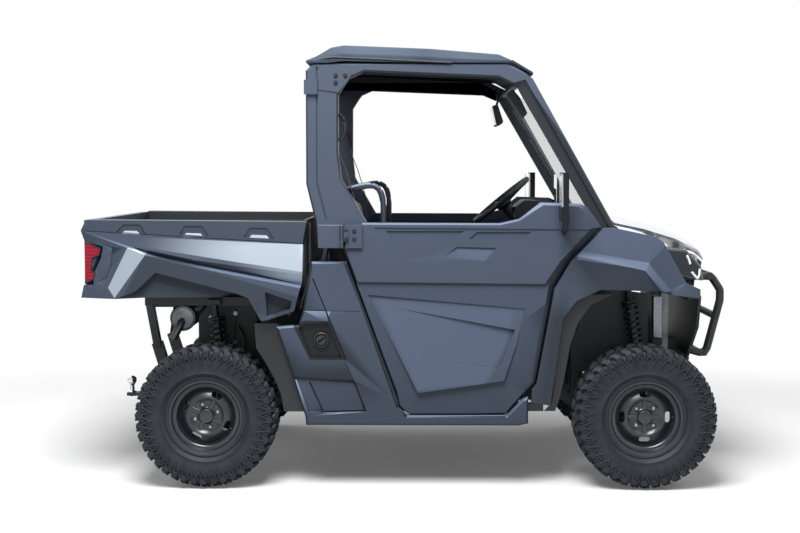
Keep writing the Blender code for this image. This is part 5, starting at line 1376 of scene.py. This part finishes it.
def undersideParts():
    size = underside
    splash = panel(size["splash"], -0.338, -0.343)
    softenEdges(splash, 0.0015, 1)
    ribs = [panel(stripOutline([(x, 0.500), (x + 0.02, 0.780)], 0.012), -0.342, -0.350) for x in (-0.96, -0.86, -0.76, -0.66, -0.56)]
    for rib in ribs:
        softenEdges(rib, 0.002, 1)
    pair(join(splash, *ribs), "rearSplashPanel", "dark", "root")
    hoses = [pipe([(x, y, z) for x, z in size[name]], 0.0085, 0.03, 4, 3) for name, y in (("hoseA", -0.365), ("hoseB", -0.372))]
    pair(join(*hoses), "brakeHoses", "seal", "root")
    clips = [bolt((x, -0.350, z), 0.008) for x, z in ((-0.96, 0.74), (-0.84, 0.76), (-0.70, 0.74), (-0.58, 0.76), (-0.84, 0.62), (-0.66, 0.55))]
    pair(join(*clips), "splashClips", "bright", "root")
    # silencer: rolled seams at both ends, domed end plate, and a slanted tail pipe
    ends = []
    can = turn([(0.0, -0.352), (0.030, -0.352), (0.040, -0.3565), (0.050, -0.3565), (0.0535, -0.352), (0.0560, -0.352),
                (0.0600, -0.3565), (0.0630, -0.3520), (0.0600, -0.3440), (0.0590, -0.300), (0.0602, -0.298), (0.0602, -0.290),
                (0.0590, -0.288), (0.0590, 0.090), (0.0625, 0.095), (0.0600, 0.100), (0.0, 0.096)], (-1.094, 0, 0.737), "Y", 64)
    smooth(can, 40)
    outlet = pipe(size["tailPipe"], 0.0195, 0.02, 5, 6)
    dress(join(can, outlet), "silencer", finish["aluminium"], "root", ["muffler"])
    foot, tip = Vector(size["tailPipe"][-2]), Vector(size["tailPipe"][-1])
    bore = turn([(0.0, 0.0), (0.0168, 0.0), (0.0168, 0.003), (0.0, 0.003)], (0, 0, 0), "Z", 32)
    stand(bore, tip - (tip - foot).normalized() * 0.0022, tip + (tip - foot))
    hanger = block((-1.255, -0.300, 0.785), (-1.080, -0.270, 0.8090))
    softenEdges(hanger, 0.002, 1)
    dress(join(bore, hanger), "silencerHanger", finish["blackSteel"], "root")
    # hitch: drawbar, tongue, and a chromed ball on its shank
    bar = [block((-1.360, -0.030, 0.297), (-1.162, 0.030, 0.343)), block((-1.445, -0.030, 0.301), (-1.340, 0.030, 0.317))]
    for piece in bar:
        softenEdges(piece, 0.002, 2)
    pin = turn([(0.0, -0.040), (0.006, -0.040), (0.006, 0.040), (0.0, 0.040)], (-1.300, 0, 0.320), "Y", 16)
    nut = turn([(0.0, 0.2965), (0.015, 0.2965), (0.015, 0.3005), (0.0, 0.3005)], (-1.423, 0, 0), "Z", 6)
    dress(join(*bar, pin, nut), "hitchBar", finish["blackSteel"], "root", ["hitch"])
    ball = turn([(0.0, 0.318), (0.020, 0.318), (0.020, 0.323), (0.0125, 0.327), (0.0115, 0.352), (0.0150, 0.358), (0.0205, 0.366),
                 (0.0232, 0.374), (0.0238, 0.382), (0.0222, 0.391), (0.0170, 0.398), (0.0090, 0.4015), (0.0, 0.4020)],
                (-1.423, 0, 0), "Z", 40)
    smooth(ball, 30)
    dress(ball, "hitchBall", finish["mirror"], "root")
    # front arch liners: a flange behind the fender and a sheet bent round the wheel's sweep
    flange = panel(size["archFlange"], -0.690, -0.6985)
    sheet = panel(size["archCurve"] + [(x - 0.006, z + 0.002) for x, z in reversed(size["archCurve"])], -0.480, -0.6900)
    softenEdges(flange, 0.001, 1)
    smooth(sheet, 45)
    pair(join(flange, sheet), "archLiner", "dark", "root")
    print("underside made")


undersideParts()

# Front: nose, lamps, splash panel

front = {
    "noseEnd": 1.340, "hoodEnd": 1.360, "shorten": 0.45,   # beyond this x the piece is drawn in to this share
    "guides": [
        [(1.284, 0.990), (1.300, 0.972), (1.312, 0.957), (1.320, 0.975), (1.322, 1.005)],
        [(1.262, 1.066), (1.272, 1.045), (1.278, 1.026)],
    ],
    "radiatorTank": ((1.176, -0.345, 0.640), (1.2215, -0.302, 0.848)),
    "radiatorCap": ((1.172, -0.348, 0.610), (1.2225, -0.300, 0.640)),
    "splash": [(0.780, 0.480), (1.150, 0.480), (1.150, 0.860), (0.985, 0.880), (0.900, 0.860), (0.780, 0.780)],
    "projectors": [(-0.640, 1.035, 0.026), (-0.565, 1.030, 0.030)],   # y, z, radius
    "grilleBars": (0.925, 0.950, 0.975, 1.000),
}


def drawIn(name, start):
    obj = bpy.data.objects[name]
    pickIn(obj, "VERT", lambda vert: vert.co.x > start)
    bpy.ops.transform.resize(value=(front["shorten"], 1, 1), center_override=(start, 0, 0))
    closeEdit()
    evenNormals(obj)
    return obj


def frontEnd():
    nose = drawIn("nose_finished", front["noseEnd"])
    drawIn("hood_finished", front["hoodEnd"])
    lamp = bpy.data.objects["headlight_right_finished"]
    guides = []
    for line in front["guides"]:
        dots = laid(lamp, line, 0.001, 0.006)
        if len(dots) > 1:
            guides.append(pipe(dots, 0.0055, sides=3))
    pair(join(*guides), "runningLamp", "white", "root")
    rings = []
    for y, z, radius in front["projectors"]:
        hit, where, normal, face = lamp.ray_cast((2.0, y, z), (-1, 0, 0))
        if hit:
            rings.append(turn([(0.0, 0.004), (radius * 0.6, 0.003), (radius * 0.8, 0.0), (radius * 0.86, 0.005), (radius, 0.005),
                               (radius, -0.006), (0.0, -0.006)], where, "X", 32))
            smooth(rings[-1], 30)
    if rings:
        pair(join(*rings), "projectorLamps", "bright", "root")
    bars = []
    for z in front["grilleBars"]:
        dots = [where for hit, where, normal, face in
                (nose.ray_cast((2.0, y, z), (-1, 0, 0)) for y in [k * 0.03 for k in range(-11, 12)]) if hit]
        if len(dots) > 3:
            bars.append(pipe([tuple(dot + Vector((0.001, 0, 0))) for dot in dots], 0.0048, sides=2))
    if bars:
        dress(join(*bars), "grilleBars", finish["blackSteel"], "root")
    splash = panel(front["splash"], -0.352, -0.357)
    softenEdges(splash, 0.0015, 1)
    clips = [bolt((x, -0.357, z), 0.008) for x, z in ((0.82, 0.72), (0.90, 0.80), (1.10, 0.80), (0.85, 0.56), (0.98, 0.60))]
    pair(splash, "frontSplashPanel", "dark", "root")
    pair(join(*clips), "frontSplashClips", "blackSteel", "root")
    tank = block(*front["radiatorTank"])
    softenEdges(tank, 0.006, 3)
    cap = block(*front["radiatorCap"])
    softenEdges(cap, 0.004, 2)
    dress(tank, "radiatorTank", finish["bright"], "root")
    dress(cap, "radiatorCap", finish["dark"], "root")
    print("front made")


frontEnd()
